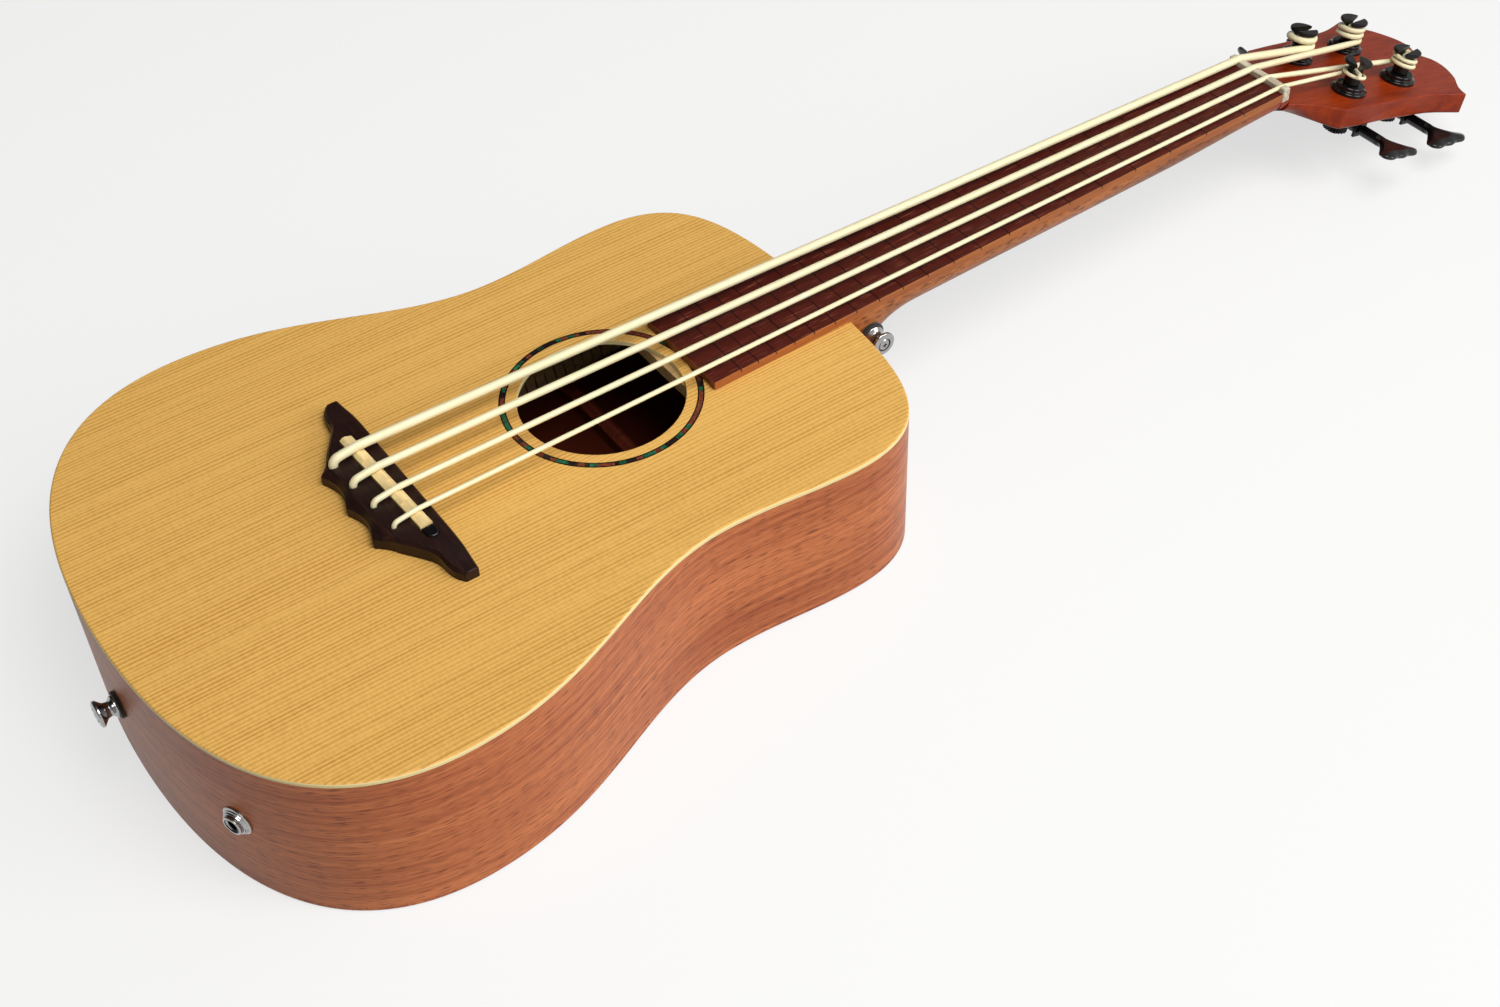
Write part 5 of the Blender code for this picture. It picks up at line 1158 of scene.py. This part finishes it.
def file_saddle():
    """The saddle: sections along it whose crown steps forward or back from land to land, with a
    narrow notch between lands."""
    long = (SADDLE_ENDS[1] - SADDLE_ENDS[0]) / 2
    splits = np.array([-17.85, 0, 17.85]) - SADDLE_MIDDLE
    crowns = np.array([-0.9, 1.0, -0.6, 1.0])
    steps = (-0.35, -0.3, 0.3, 0.35)
    edges = np.array([-long + 0.35] + [s + d for s in splits for d in steps] + [long - 0.35])
    i = np.arange(len(edges))
    crown = crowns[(i + 1) // 4]
    top = np.where(i % 4 > 1, SADDLE_CROWN - 1.0, SADDLE_CROWN)
    wide, front, rear = SADDLE_WIDE / 2, 9.7, 9.9
    ys = grid(wide, wide, wide - 0.25, crown + 0.9, crown + 0.3, crown - 0.3, crown - 0.9,
              0.25 - wide, -wide, -wide)
    zs = grid(SADDLE_LOW, front - 0.25, front, top - 0.12, top, top, top - 0.12, rear,
              rear - 0.25, SADDLE_LOW)
    rows = on_saddle(grid(edges[:, None], ys), zs)
    mesh = shape_mesh("saddle", [in_world(ends_closed(rows))], sharp=30)
    piece("stepped_saddle", mesh, finish("saddle"), stands_for=["saddle"])

    start = SADDLE_ENDS[1] + 0.3 - SADDLE_MIDDLE
    arc = np.linspace(0, PI / 2, 6)
    top_z = BRIDGE_TOP + PLUG_PROUD
    loops = [on_saddle(plug_loop(0.0, start), SLOT_FLOOR + 0.3)]
    loops += [on_saddle(plug_loop(0.7 * (1 - np.cos(a)), start), top_z - 0.7 * (1 - np.sin(a)))
              for a in arc]
    loops += [on_saddle(plug_loop(1.1, start), top_z)]
    mesh = shape_mesh("plug", [in_world(ends_closed(np.array(loops)))])
    piece("slot_plug", mesh, finish("moulding"), stands_for=["saddle_slot_plug"])


# Strings
def coil_way(key):
    """How a string meets its post: winding sense, angle where it arrives, and the coil's radius."""
    string, tuner = STRINGS[key], TUNERS[key]
    radius = POST_NECK + string["thick"] / 2 * string["squeeze"] + 0.3
    sense = -tuner["side"]
    nut = nut_point(key) - HEAD_AT
    offset = np.array([nut[0] - tuner["x"], nut @ HEAD_V - tuner["along"]])
    arrive = np.arctan2(offset[1], offset[0]) + sense * np.arccos(radius / np.linalg.norm(offset))
    return sense, arrive, radius


def nut_point(key):
    """The middle of a string where it lies in the nut."""
    string = STRINGS[key]
    return np.array([string["nut"], SCALE + NUT_LONG / 2,
                     BOARD_TOP + NUT_LIFT + string["thick"] / 2])


def string_lines(key):
    """The straight run with its bends at the hole, saddle and nut; then the turns on the post,
    each flat where it starts and climbing opposite, and the bend into the post's slot."""
    string, tuner = STRINGS[key], TUNERS[key]
    radius = string["thick"] / 2
    x, y = string["bridge"], string["hole"]
    knot = -5.3 - radius * KNOT_SWELL - KNOT_LONG
    sense, arrive, coil = coil_way(key)
    post = np.array([tuner["x"], tuner["along"], 0])
    start = on_head(post + (coil * np.cos(arrive), coil * np.sin(arrive), string["start"]))
    corners = [(x, y, knot), (x, y, BRIDGE_TOP + radius + 0.35),
               (x, saddle_y(x), SADDLE_CROWN + radius - STRING_PRESS),
               nut_point(key), start]
    run = rounded_path(corners, [radius + 1.6, 8, 12], 0.06)

    slot, lead_in = np.radians(string["slot"]), np.radians(28)
    sweep = 2 * PI * string["turns"] + (sense * (slot - arrive)) % (2 * PI) - lead_in
    angle = np.linspace(0, sweep, int(sweep / (2 * PI) * 80))[1:]
    turn = angle / (2 * PI)
    pitch = string["thick"] * string["squeeze"] + 0.65
    height = string["start"] + pitch * (turn - np.sin(2 * PI * turn) / (2 * PI))
    way = arrive + sense * angle
    turns = np.column_stack([coil * np.cos(way), coil * np.sin(way), height])
    outer = coil / np.cos(lead_in)
    level = height[-1]
    corner = (outer * np.cos(slot), outer * np.sin(slot), level)
    inner = (string["stub"] * np.cos(slot), string["stub"] * np.sin(slot), level + string["rise"])
    bend = outer * np.sin(lead_in) / np.tan((PI / 2 + lead_in) / 2) * 0.97
    tail = rounded_path([turns[-1], corner, inner], [bend], 0.08)
    return run, on_head(np.concatenate([turns[:-1], tail]) + post)


def wind_strings():
    """Each string: its knot, its run, and its turns, squeezed where they lie on the post."""
    for key, string in STRINGS.items():
        run, coils = string_lines(key)
        run = denser(run, 6.0)
        points = np.concatenate([run, coils])
        far = travelled(points)
        arrival = travelled(run)[-1]
        radius = string["thick"] / 2 * np.interp(
            far, [0, 0.2 * KNOT_LONG, 0.8 * KNOT_LONG, KNOT_LONG, arrival - 12, arrival],
            [0.9, KNOT_SWELL, KNOT_SWELL, 1, 1, string["squeeze"]])
        nut_far = arrival - np.linalg.norm(run[-1] - nut_point(key))
        share = eased((far - nut_far - 8) / (arrival - nut_far - 12))[:, None]
        reference = unit((1 - share) * (1, 0, 0) + share * HEAD_N)
        mesh = shape_mesh("string_" + key, [in_world(tube(points, radius, reference, 28))],
                          sharp=60)
        piece("wound_string_" + key, mesh, finish("string"), stands_for=["string_" + key],
              weighted=False)


# Tuners
def at_tuner(points, key):
    """Points about a post's foot, as world points."""
    tuner = TUNERS[key]
    return in_world(on_head(points + (tuner["x"], tuner["along"], 0)))


def set_bushings():
    """Each bushing: two rounded tiers and the tube through the head, turned about the post."""
    profile = rounded_path([(3.3, 4.9), (8.5, 4.9), (8.5, 2.5), (10.5, 1.75), (10.5, 0), (5, 0),
                            (5, -10), (3.3, -10), (3.3, 4.9)], [0.8, 0.5, 0.7, 0, 0, 0, 0, 0],
                           0.25)
    for key in TUNERS:
        mesh = shape_mesh("bushing", [at_tuner(turned(profile, 72), key)])
        piece("base_bushing_" + key, mesh, finish("gloss"), stands_for=["tuner_bushing_" + key])


WING_PROFILE = [(10.0, 4.75), (12.0, 4.62), (14.0, 4.6), (15.6, 5.0), (16.8, 6.3), (17.5, 7.7),
                (18.0, 8.3), (18.4, 8.35), (19.0, 8.3), (19.35, 8.05), (19.5, 7.5)]


def post_wing(turn):
    """One wing of a post: at each height a circle's piece beyond the slot, flaring to the top."""
    fine = np.concatenate([np.linspace(10, 16, 9), np.linspace(16.3, 19.5, 22)])
    radius = flowing(WING_PROFILE, fine)[:, None]
    chord = SLOT_WIDE / 2
    half = np.arccos(chord / radius)
    share = np.linspace(-1, 1, 33)
    arc_x, arc_y = radius * np.cos(half * share), radius * np.sin(half * share)
    flat = np.linspace(1, -1, 15)[1:-1]
    flat_x, flat_y = chord + 0 * radius * flat, radius * np.sin(half) * flat
    x, y = np.concatenate([arc_x, flat_x], 1), np.concatenate([arc_y, flat_y], 1)
    loops = grid(x, y, fine[:, None])
    middle = np.array([5.2, 0, 0])
    inner = middle + (loops[-1] - middle) * 0.93
    inner[:, 2] = POST_TOP
    loops = np.concatenate([loops, inner[None]])
    cos, sin = np.cos(turn), np.sin(turn)
    spin = np.array([[cos, -sin, 0], [sin, cos, 0], [0, 0, 1]])
    return ends_closed(loops) @ spin.T


def set_posts():
    """Each post: the turned foot with its shaft, and two flared wings either side of the slot."""
    gear_high, gear_low, plate_low = -20.1, -24.9, -14.7
    foot = rounded_path([(0, SLOT_BOTTOM), (4.75, SLOT_BOTTOM), (4.75, 5.2), (3, 5.2),
                         (3, plate_low - 0.3), (4.2, plate_low - 0.3), (4.2, gear_high + 0.3),
                         (3, gear_high + 0.3), (3, gear_low - 0.3), (4.2, gear_low - 0.3),
                         (3.8, gear_low - 1.6), (0, gear_low - 1.6)],
                        [0.2, 0.3] + [0] * 6 + [0.2, 0.3], 0.3)
    for key, string in STRINGS.items():
        slot = np.radians(string["slot"])
        sheets = [turned(foot, 56)] + [post_wing(slot + sign * PI / 2) for sign in (-1, 1)]
        mesh = shape_mesh("post", [at_tuner(s, key) for s in sheets])
        piece("slotted_post_" + key, mesh, finish("post"), body="post_" + key,
              stands_for=["tuner_post_" + key])
        show_in("tuner_gear_" + key, "plate")


def key_shaft():
    """The shaft along local X: plain, a worm whose thread goes round as it goes along, plain,
    then the thick stem with two fine rings."""
    corners = [(-12, 0.01), (-12, 2.2), (-6.6, 2.2), (-6.6, 3.35), (6.6, 3.35), (6.6, 2.2),
               (10.8, 2.2), (10.8, 3.3), (23.5, 3.3), (23.5, 3.0), (23.9, 3.0), (23.9, 3.3),
               (24.7, 3.3), (24.7, 3.0), (25.1, 3.0), (25.1, 3.3), (28.5, 3.1), (28.5, 0.01)]
    bends = [0.2, 0, 0, 0, 0, 0, 0.5, 0.08, 0, 0, 0.08, 0.08, 0, 0, 0.08, 0]
    line = rounded_path(corners, bends, 0.3)
    reach, pitch = 6.4, 2.4
    worm = np.column_stack([np.linspace(-reach, reach, 130), np.full(130, 3.35)])
    line = np.concatenate([line[line[:, 0] < -reach], worm, line[line[:, 0] > reach]])
    along, radius = line[:, :1], line[:, 1:]
    angle = np.linspace(0, 2 * PI, 48, endpoint=False)
    ridge = np.clip(0.5 + 0.9 * np.cos(2 * PI * along / pitch - angle), 0, 1)
    inside = eased((reach - np.abs(along)) / 0.6)
    radius = radius + (0.55 * ridge - 0.25) * inside
    return grid(along + 0 * angle, radius * np.cos(angle), radius * np.sin(angle))


def key_leaf():
    """The finger piece: shares along and across on a sheet above and one below, its sides and
    end following their own curves, thick at the stem and thin and round at the rim."""
    along = np.concatenate([np.linspace(0, 0.7, 24),
                            0.7 + 0.3 * np.sin(np.linspace(0, PI / 2, 20))[1:]])
    across = -np.cos(np.linspace(0, PI, 61))
    t, s = along[:, None], across[None]
    outer = np.clip((t - 0.5) / 0.5, 0, 1)
    half = flowing(KEY_SIDE, t * 0.83) * KEY_HALF_WIDE * np.sqrt(1 - 0.25 * outer ** 3)
    u = KEY_START + t * np.sqrt(1 - 0.3 * outer * s ** 4) * flowing(KEY_END, np.abs(s)) * KEY_LONG
    v = s * half
    thick = flowing([(0, 3.1), (0.2, 2.9), (0.5, 2.7), (0.8, 2.8), (1, 2.8)], t)
    rim = np.sqrt(1 - np.abs(s) ** 2.4)
    end = np.sqrt(1 - ((t - 0.7) / 0.3).clip(0, 1) ** 2)
    dish = 1 - 0.12 * np.exp(-((t - 0.62) / 0.25) ** 2 - (s / 0.45) ** 2)
    height = thick * rim * end * dish
    return [grid(u, v, height), grid(u, v, -height)]


def cut_keys():
    """Each key: the shaft with its worm and the finger piece, turned to its own angle."""
    for key, tuner in TUNERS.items():
        turn = tuner["side"] * np.radians(tuner["turned"])
        cos, sin = np.cos(turn), np.sin(turn)
        tilt = np.array([[1, 0, 0], [0, cos, -sin], [0, sin, cos]])

        def placed(points):
            """Points about a key's axis, turned to its angle, as world points."""
            points = points * (tuner["side"], 1, 1) @ tilt.T
            return at_tuner(points + (0, WORM_OFFSET, -GEAR_DEPTH), key)

        shaft = shape_mesh("shaft", [placed(ends_closed(key_shaft()))])
        leaf = shape_mesh("leaf", [placed(s) for s in key_leaf()], False, sharp=80)
        whole = joined("key", [shaft, leaf])
        piece("tuner_finger_piece_" + key, whole, finish("moulding"), body="key_" + key,
              stands_for=["tuner_key_" + key])


def joined(name, meshes):
    """Several meshes as one, with the sharp edges of each kept."""
    work = bmesh.new()
    for mesh in meshes:
        work.from_mesh(mesh)
    whole = bpy.data.meshes.new(name)
    work.to_mesh(whole)
    work.free()
    return whole


def refined_copy(node):
    """A copy of a solid, its doubles merged and its flats made whole."""
    mesh = NODES[node].data.copy()
    work = bmesh.new()
    work.from_mesh(mesh)
    bmesh.ops.remove_doubles(work, verts=work.verts, dist=0.00001)
    bmesh.ops.dissolve_limit(work, angle_limit=np.radians(1), verts=work.verts, edges=work.edges)
    work.to_mesh(mesh)
    work.free()
    shade(mesh, 35)
    return mesh


def screw_plates():
    """The plates keep their solids' form with softened edges; each has two dome-headed screws."""
    screws = []
    dome = rounded_path([(0.01, -16.3), (1.6, -16.1), (2.3, -15.2), (2.3, -14.6)], [1.5, 0.5],
                        0.2)[::-1]
    for key, tuner in TUNERS.items():
        node = "tuner_plate_" + key
        made = piece("pressed_plate_" + key, refined_copy(node), finish("plate"),
                     stands_for=[node],
                     weighted=False)
        edge = made.modifiers.new("Soft edges", "BEVEL")
        edge.width, edge.segments, edge.limit_method = 0.0003, 2, "ANGLE"
        edge.angle_limit = np.radians(50)
        for x, v in ((12.0, -8.5), (-7.0, -8.5)):
            head = turned(dome, 28) + (tuner["side"] * x, v, 0)
            screws.append(at_tuner(ends_closed(head), key))
    piece("plate_screws", shape_mesh("screws", screws), finish("plate"))


# Strap buttons and jack
def placed_on(points, seat, out, up=(0, 0, 1)):
    """Points turned about local Z, stood on a seat with Z along out, as world points."""
    out, up = unit(np.array(out, float)), np.array(up, float)
    across = unit(np.cross(up, out))
    return in_world(seat + points[..., :1] * across + points[..., 1:2] * np.cross(out, across)
                    + points[..., 2:] * out)


def fit_buttons():
    """Each button: a felt washer, a waisted turning and its screw, one above the other."""
    base = FELT_THICK + 0.3
    end = 0.6 + FELT_THICK + BUTTON_LONG
    button = rounded_path([(3.7, end - 1.2), (3.75, end - 0.1), (5.4, end), (6.8, end - 0.7),
                           (6.8, end - 1.9), (4.0, end - 4.6), (3.6, base + 2.8),
                           (5.75, base + 1.0), (5.75, base), (1.9, base), (1.9, end - 2.6),
                           (3.7, end - 1.2)], [0, 0.3, 0.8, 0.6, 1.5, 1.2, 0.5, 0.2, 0, 0, 0],
                          0.15)
    washer = rounded_path([(1.9, base), (FELT_R, base), (FELT_R, 0.05), (1.9, 0.05), (1.9, base)],
                          [0.6, 0.4, 0], 0.3)
    screw = rounded_path([(0.01, end + 0.2), (2.6, end + 0.1), (3.4, end - 0.6), (3.4, end - 1.1),
                          (1.6, end - 2.4), (1.6, -12.0), (0.01, -14.0)], [2.0, 0.4, 0.2, 0, 0],
                         0.15)
    y, z = HEEL_BUTTON
    seats = {"tail": (TAIL_SEAT, (0, -1, 0)),
             "heel": (np.array([heel_half(y, z + FELT_R), y, z]), (1, 0, 0))}
    for name, (seat, out) in seats.items():
        made = shape_mesh("button", [placed_on(turned(button, 72), seat, out)])
        piece(name + "_strap_button", made, finish("chrome"), stands_for=[name + "_button"])
        made = shape_mesh("washer", [placed_on(turned(washer, 64), seat, out)])
        piece(name + "_felt_washer", made, finish("felt"), stands_for=[name + "_felt"])
        head = shape_mesh("screw", [placed_on(ends_closed(turned(screw, 56)), seat, out)])
        cross = []
        for wide, long in ((0.42, 1.7), (1.7, 0.42)):
            corners = np.array([(-1, -1), (1, -1), (1, 1), (-1, 1)]) * (wide, long)
            loops = np.array([grid(corners[:, 0] * s, corners[:, 1] * s, z)
                              for s, z in ((0.5, end - 1.5), (1, end + 1.0))])
            cross.append(shape_mesh("cross", [placed_on(ends_closed(loops), seat, out)]))
        piece(name + "_strap_screw", cut(head, cross), finish("chrome"),
              stands_for=[name + "_button_screw"])


def jack_seat():
    """Where the jack stands in the treble side, and which way it looks."""
    spot, slope = bezier(OUTLINE[0], JACK_SHARE)
    slope = unit(slope)
    return np.array([*spot, JACK_Z]), np.array([slope[1], -slope[0], 0])


def fit_jack():
    """The jack: a barrel open to the plug, its dark sleeve, and a round nut in steps."""
    seat, out = jack_seat()
    barrel = rounded_path([(4.1, 4.2), (5.2, 4.2), (5.2, -3), (7, -3), (7, -27), (0.01, -27),
                           (0.01, -24.5), (3.3, -24.5), (3.3, 2.6), (4.1, 3.6), (4.1, 4.2)],
                          [0.4, 0, 0.4, 0.6, 0, 0, 0, 0.2, 0.1], 0.3)
    mesh = shape_mesh("barrel", [placed_on(turned(barrel, 64), seat, out)])
    piece("jack_socket", mesh, finish("chrome"), stands_for=["jack_barrel"])

    sleeve = rounded_path([(2.6, 3.4), (3.25, 3.4), (3.25, -24.3), (2.6, -24.3), (2.6, 3.4)],
                          [0.3, 0, 0], 0.3)
    mesh = shape_mesh("sleeve", [placed_on(turned(sleeve, 48), seat, out)])
    piece("jack_socket_sleeve", mesh, finish("moulding"))
    nut = rounded_path([(5.3, 0.05), (8.0, 0.05), (8.0, 0.7), (7.3, 1.1), (6.9, 1.2), (6.8, 1.7),
                        (6.3, 1.9), (6.2, 2.65), (5.3, 2.65), (5.3, 0.05)],
                       [0, 0.25, 0.2, 0.1, 0.1, 0.15, 0.2, 0.15], 0.15)
    mesh = shape_mesh("nut", [placed_on(turned(nut, 96), seat, out)], sharp=25)
    piece("jack_dress_nut", mesh, finish("chrome"), stands_for=["jack_nut"])


def route_lead():
    """The pickup's lead: smooth pieces through the same points as its solid, to the jack's back."""
    seat, out = jack_seat()
    end = seat - out * 27.3
    y = saddle_y(33.0)
    route = np.array([(33, y, 3.6), (33, y, -8), (34, y - 5, -17), (42, -34, -27), (56, -66, -36),
                      end - out * 10, end])
    tangents = np.concatenate([[route[1] - route[0]] * 2, route[3:] - route[1:-2],
                               [route[-1] - route[-2]]])
    points = [route[:1]]
    for i in range(len(route) - 1):
        reach = np.linalg.norm(route[i + 1] - route[i])
        s = np.linspace(0, 1, max(6, int(reach)))[1:, None]
        points.append(cubic(route[i], route[i + 1], unit(tangents[i]) * reach,
                            unit(tangents[i + 1]) * reach, s))
    points = np.concatenate(points)
    reference = np.tile(unit(np.array([1.0, 0.35, 0.0])), (len(points), 1))
    mesh = shape_mesh("lead", [in_world(tube(points, 0.9, reference, 14))], sharp=60)
    made = piece("pickup_wire", mesh, finish("cable"), stands_for=["pickup_lead"],
                 weighted=False)
    path = in_world(points)
    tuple(path[0])
    travelled(path)[-1]


# Stage
def set_stage(studio):
    """The photograph's camera, a floor that glows for the camera so that it stays white, a sky
    that is brighter on one side, and two soft lamps."""
    scene = bpy.context.scene
    camera = bpy.data.objects.new("photo_camera", bpy.data.cameras.new("photo_camera"))
    camera.location, camera.rotation_euler = CAMERA_AT, CAMERA_TURN
    camera.data.lens, camera.data.sensor_width = CAMERA_LENS, 36
    camera.data.sensor_fit = "HORIZONTAL"
    scene.collection.objects.link(camera)
    scene.camera = camera
    scene.view_settings.view_transform = "Standard"

    x, y = np.meshgrid([-FLOOR_REACH, FLOOR_REACH], [-FLOOR_REACH, FLOOR_REACH])
    floor = bpy.data.objects.new("floor", shape_mesh("floor", [grid(x, y, FLOOR_Z)], False))
    scene.collection.objects.link(floor)
    made, tree, _ = start_finish("matt_white_floor", 0.9, Specular_IOR_Level=0.0,
                                 Base_Color=studio.floor_tone)
    seen = 0.0
    for ray in ("Is Camera Ray", "Is Glossy Ray", "Is Transmission Ray"):
        seen = put(tree, "Math", seen, put(tree, "LightPath", out=ray), operation="MAXIMUM")
    strength = put(tree, "Math", seen, FLOOR_GLOW, operation="MULTIPLY")
    glow = put(tree, "Emission", (1, 1, 1, 1), strength)
    both = put(tree, "AddShader", tree.nodes["Principled BSDF"].outputs["BSDF"], glow)
    tree.links.new(both, tree.nodes["Material Output"].inputs["Surface"])
    floor.data.materials.append(made)

    world = bpy.data.worlds.new("studio")
    scene.world = world
    world.use_nodes = True
    tree = world.node_tree
    background = tree.nodes["Background"]
    way = put(tree, "TexCoord", out="Generated")
    bright_side = 0.0
    for axis, weight in (("X", 0.8), ("Y", 0.45)):
        part = put(tree, "SeparateXYZ", way, out=axis)
        part = put(tree, "Math", part, weight, operation="MULTIPLY")
        bright_side = put(tree, "Math", bright_side, part, operation="ADD")
    light = put(tree, "MapRange", bright_side, -0.3, 0.9, 0.05, 0.9)
    seen = put(tree, "LightPath", out="Is Camera Ray")
    strength = put(tree, "Math", light, seen, operation="MAXIMUM")
    tree.links.new(strength, background.inputs["Strength"])
    background.inputs["Color"].default_value = (1, 1, 1, 1)

    centre = np.array([0.0, 0.15, 0.05])
    for name, place, size, power in (
            ("main_lamp", (0.9, 0.3, 1.8), 1.2, studio.key_power),
            ("second_lamp", (1.7, 1.5, 1.0), 1.1, studio.fill_power)):
        lamp = bpy.data.objects.new(name, bpy.data.lights.new(name, "AREA"))
        lamp.data.shape, lamp.data.size, lamp.data.energy = "DISK", size, power
        lamp.location = place
        aim = Vector(centre - np.array(place))
        lamp.rotation_euler = aim.to_track_quat("-Z", "Y").to_euler()
        scene.collection.objects.link(lamp)


# Operators and the panel
class UKE_OT_stage(bpy.types.Operator):
    """Sets the camera, the floor and the lamps"""
    bl_idname = "ukulele.stage"
    bl_label = "Stage"

    def execute(self, context):
        set_stage(context.scene.bass_ukulele_studio)
        return {"FINISHED"}


class UKE_OT_lead(bpy.types.Operator):
    """Routes the lead from the saddle to the jack"""
    bl_idname = "ukulele.lead"
    bl_label = "Pickup lead"

    def execute(self, context):
        route_lead()
        return {"FINISHED"}


class UKE_OT_soundboard(bpy.types.Operator):
    """Lays the spruce top with its hole"""
    bl_idname = "ukulele.soundboard"
    bl_label = "Soundboard"

    def execute(self, context):
        lay_soundboard()
        return {"FINISHED"}


class UKE_OT_ring(bpy.types.Operator):
    """Inlays the ring round the hole"""
    bl_idname = "ukulele.ring"
    bl_label = "Shell ring"

    def execute(self, context):
        lay_ring()
        return {"FINISHED"}


class UKE_OT_sides(bpy.types.Operator):
    """Bends the two sides"""
    bl_idname = "ukulele.sides"
    bl_label = "Sides"

    def execute(self, context):
        bend_sides()
        return {"FINISHED"}


class UKE_OT_back(bpy.types.Operator):
    """Lays the back plate"""
    bl_idname = "ukulele.back"
    bl_label = "Back"

    def execute(self, context):
        lay_back()
        return {"FINISHED"}


class UKE_OT_linings(bpy.types.Operator):
    """Glues the sawn lining strips"""
    bl_idname = "ukulele.linings"
    bl_label = "Linings"

    def execute(self, context):
        glue_linings()
        return {"FINISHED"}


class UKE_OT_inside(bpy.types.Operator):
    """Finishes braces, blocks and pickup strip"""
    bl_idname = "ukulele.inside"
    bl_label = "Inside"

    def execute(self, context):
        finish_inside()
        return {"FINISHED"}


class UKE_OT_neck(bpy.types.Operator):
    """Carves the neck, heel and head"""
    bl_idname = "ukulele.neck"
    bl_label = "Neck and head"

    def execute(self, context):
        carve_neck()
        return {"FINISHED"}


class UKE_OT_fingerboard(bpy.types.Operator):
    """Planes the board and saws its lines"""
    bl_idname = "ukulele.fingerboard"
    bl_label = "Fingerboard"

    def execute(self, context):
        plane_board()
        return {"FINISHED"}


class UKE_OT_nut(bpy.types.Operator):
    """Files the nut with its grooves"""
    bl_idname = "ukulele.nut"
    bl_label = "Nut"

    def execute(self, context):
        file_nut()
        return {"FINISHED"}


class UKE_OT_bridge(bpy.types.Operator):
    """Carves the bridge"""
    bl_idname = "ukulele.bridge"
    bl_label = "Bridge"

    def execute(self, context):
        carve_bridge()
        return {"FINISHED"}


class UKE_OT_saddle(bpy.types.Operator):
    """Files the saddle and sets the plug"""
    bl_idname = "ukulele.saddle"
    bl_label = "Saddle and plug"

    def execute(self, context):
        file_saddle()
        return {"FINISHED"}


class UKE_OT_strings(bpy.types.Operator):
    """Winds the four strings on their posts"""
    bl_idname = "ukulele.strings"
    bl_label = "Strings"

    def execute(self, context):
        wind_strings()
        return {"FINISHED"}


class UKE_OT_bushings(bpy.types.Operator):
    """Sets the base bushings"""
    bl_idname = "ukulele.bushings"
    bl_label = "Bushings"

    def execute(self, context):
        set_bushings()
        return {"FINISHED"}


class UKE_OT_posts(bpy.types.Operator):
    """Sets the posts and finishes the gears"""
    bl_idname = "ukulele.posts"
    bl_label = "Posts and gears"

    def execute(self, context):
        set_posts()
        return {"FINISHED"}


class UKE_OT_keys(bpy.types.Operator):
    """Shapes the tuner keys"""
    bl_idname = "ukulele.keys"
    bl_label = "Keys"

    def execute(self, context):
        cut_keys()
        return {"FINISHED"}


class UKE_OT_plates(bpy.types.Operator):
    """Screws the plates behind the head"""
    bl_idname = "ukulele.plates"
    bl_label = "Tuner plates"

    def execute(self, context):
        screw_plates()
        return {"FINISHED"}


class UKE_OT_buttons(bpy.types.Operator):
    """Fits both strap buttons"""
    bl_idname = "ukulele.buttons"
    bl_label = "Strap buttons"

    def execute(self, context):
        fit_buttons()
        return {"FINISHED"}


class UKE_OT_jack(bpy.types.Operator):
    """Fits the jack and its nut"""
    bl_idname = "ukulele.jack"
    bl_label = "Jack"

    def execute(self, context):
        fit_jack()
        return {"FINISHED"}


STEPS = [
    UKE_OT_stage, UKE_OT_lead, UKE_OT_soundboard, UKE_OT_ring, UKE_OT_sides, UKE_OT_back,
    UKE_OT_linings, UKE_OT_inside, UKE_OT_neck, UKE_OT_fingerboard, UKE_OT_nut, UKE_OT_bridge,
    UKE_OT_saddle, UKE_OT_strings, UKE_OT_bushings, UKE_OT_posts, UKE_OT_keys, UKE_OT_plates,
    UKE_OT_buttons, UKE_OT_jack,
]


class UKE_PT_panel(bpy.types.Panel):
    """Lists every step and the sizes and colours that it uses"""
    bl_idname = "UKE_PT_panel"
    bl_label = "Bass ukulele"
    bl_space_type = "VIEW_3D"
    bl_region_type = "UI"
    bl_category = "Ukulele"

    def draw(self, context):
        for made in STEPS:
            self.layout.operator(made.bl_idname)
        for group in GROUPS:
            values = getattr(context.scene, "bass_ukulele_" + group)
            for name in values.__annotations__:
                self.layout.prop(values, name)


GROUPS = {"woods": UKE_PG_woods, "fittings": UKE_PG_fittings, "studio": UKE_PG_studio}
CLASSES = [*GROUPS.values(), *STEPS, UKE_PT_panel]


def register():
    """Registers every class, and hangs the settings on the scene."""
    for made in CLASSES:
        bpy.utils.register_class(made)
    for name, group in GROUPS.items():
        setattr(bpy.types.Scene, "bass_ukulele_" + name, bpy.props.PointerProperty(type=group))


def unregister():
    """Takes the settings and the classes away again."""
    for name in GROUPS:
        delattr(bpy.types.Scene, "bass_ukulele_" + name)
    for made in reversed(CLASSES):
        bpy.utils.unregister_class(made)


def main():
    """Registers the add-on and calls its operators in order."""
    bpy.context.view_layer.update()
    register()
    for made in STEPS:
        group, name = made.bl_idname.split(".")
        getattr(getattr(bpy.ops, group), name)()


if __name__ == "__main__":
    main()
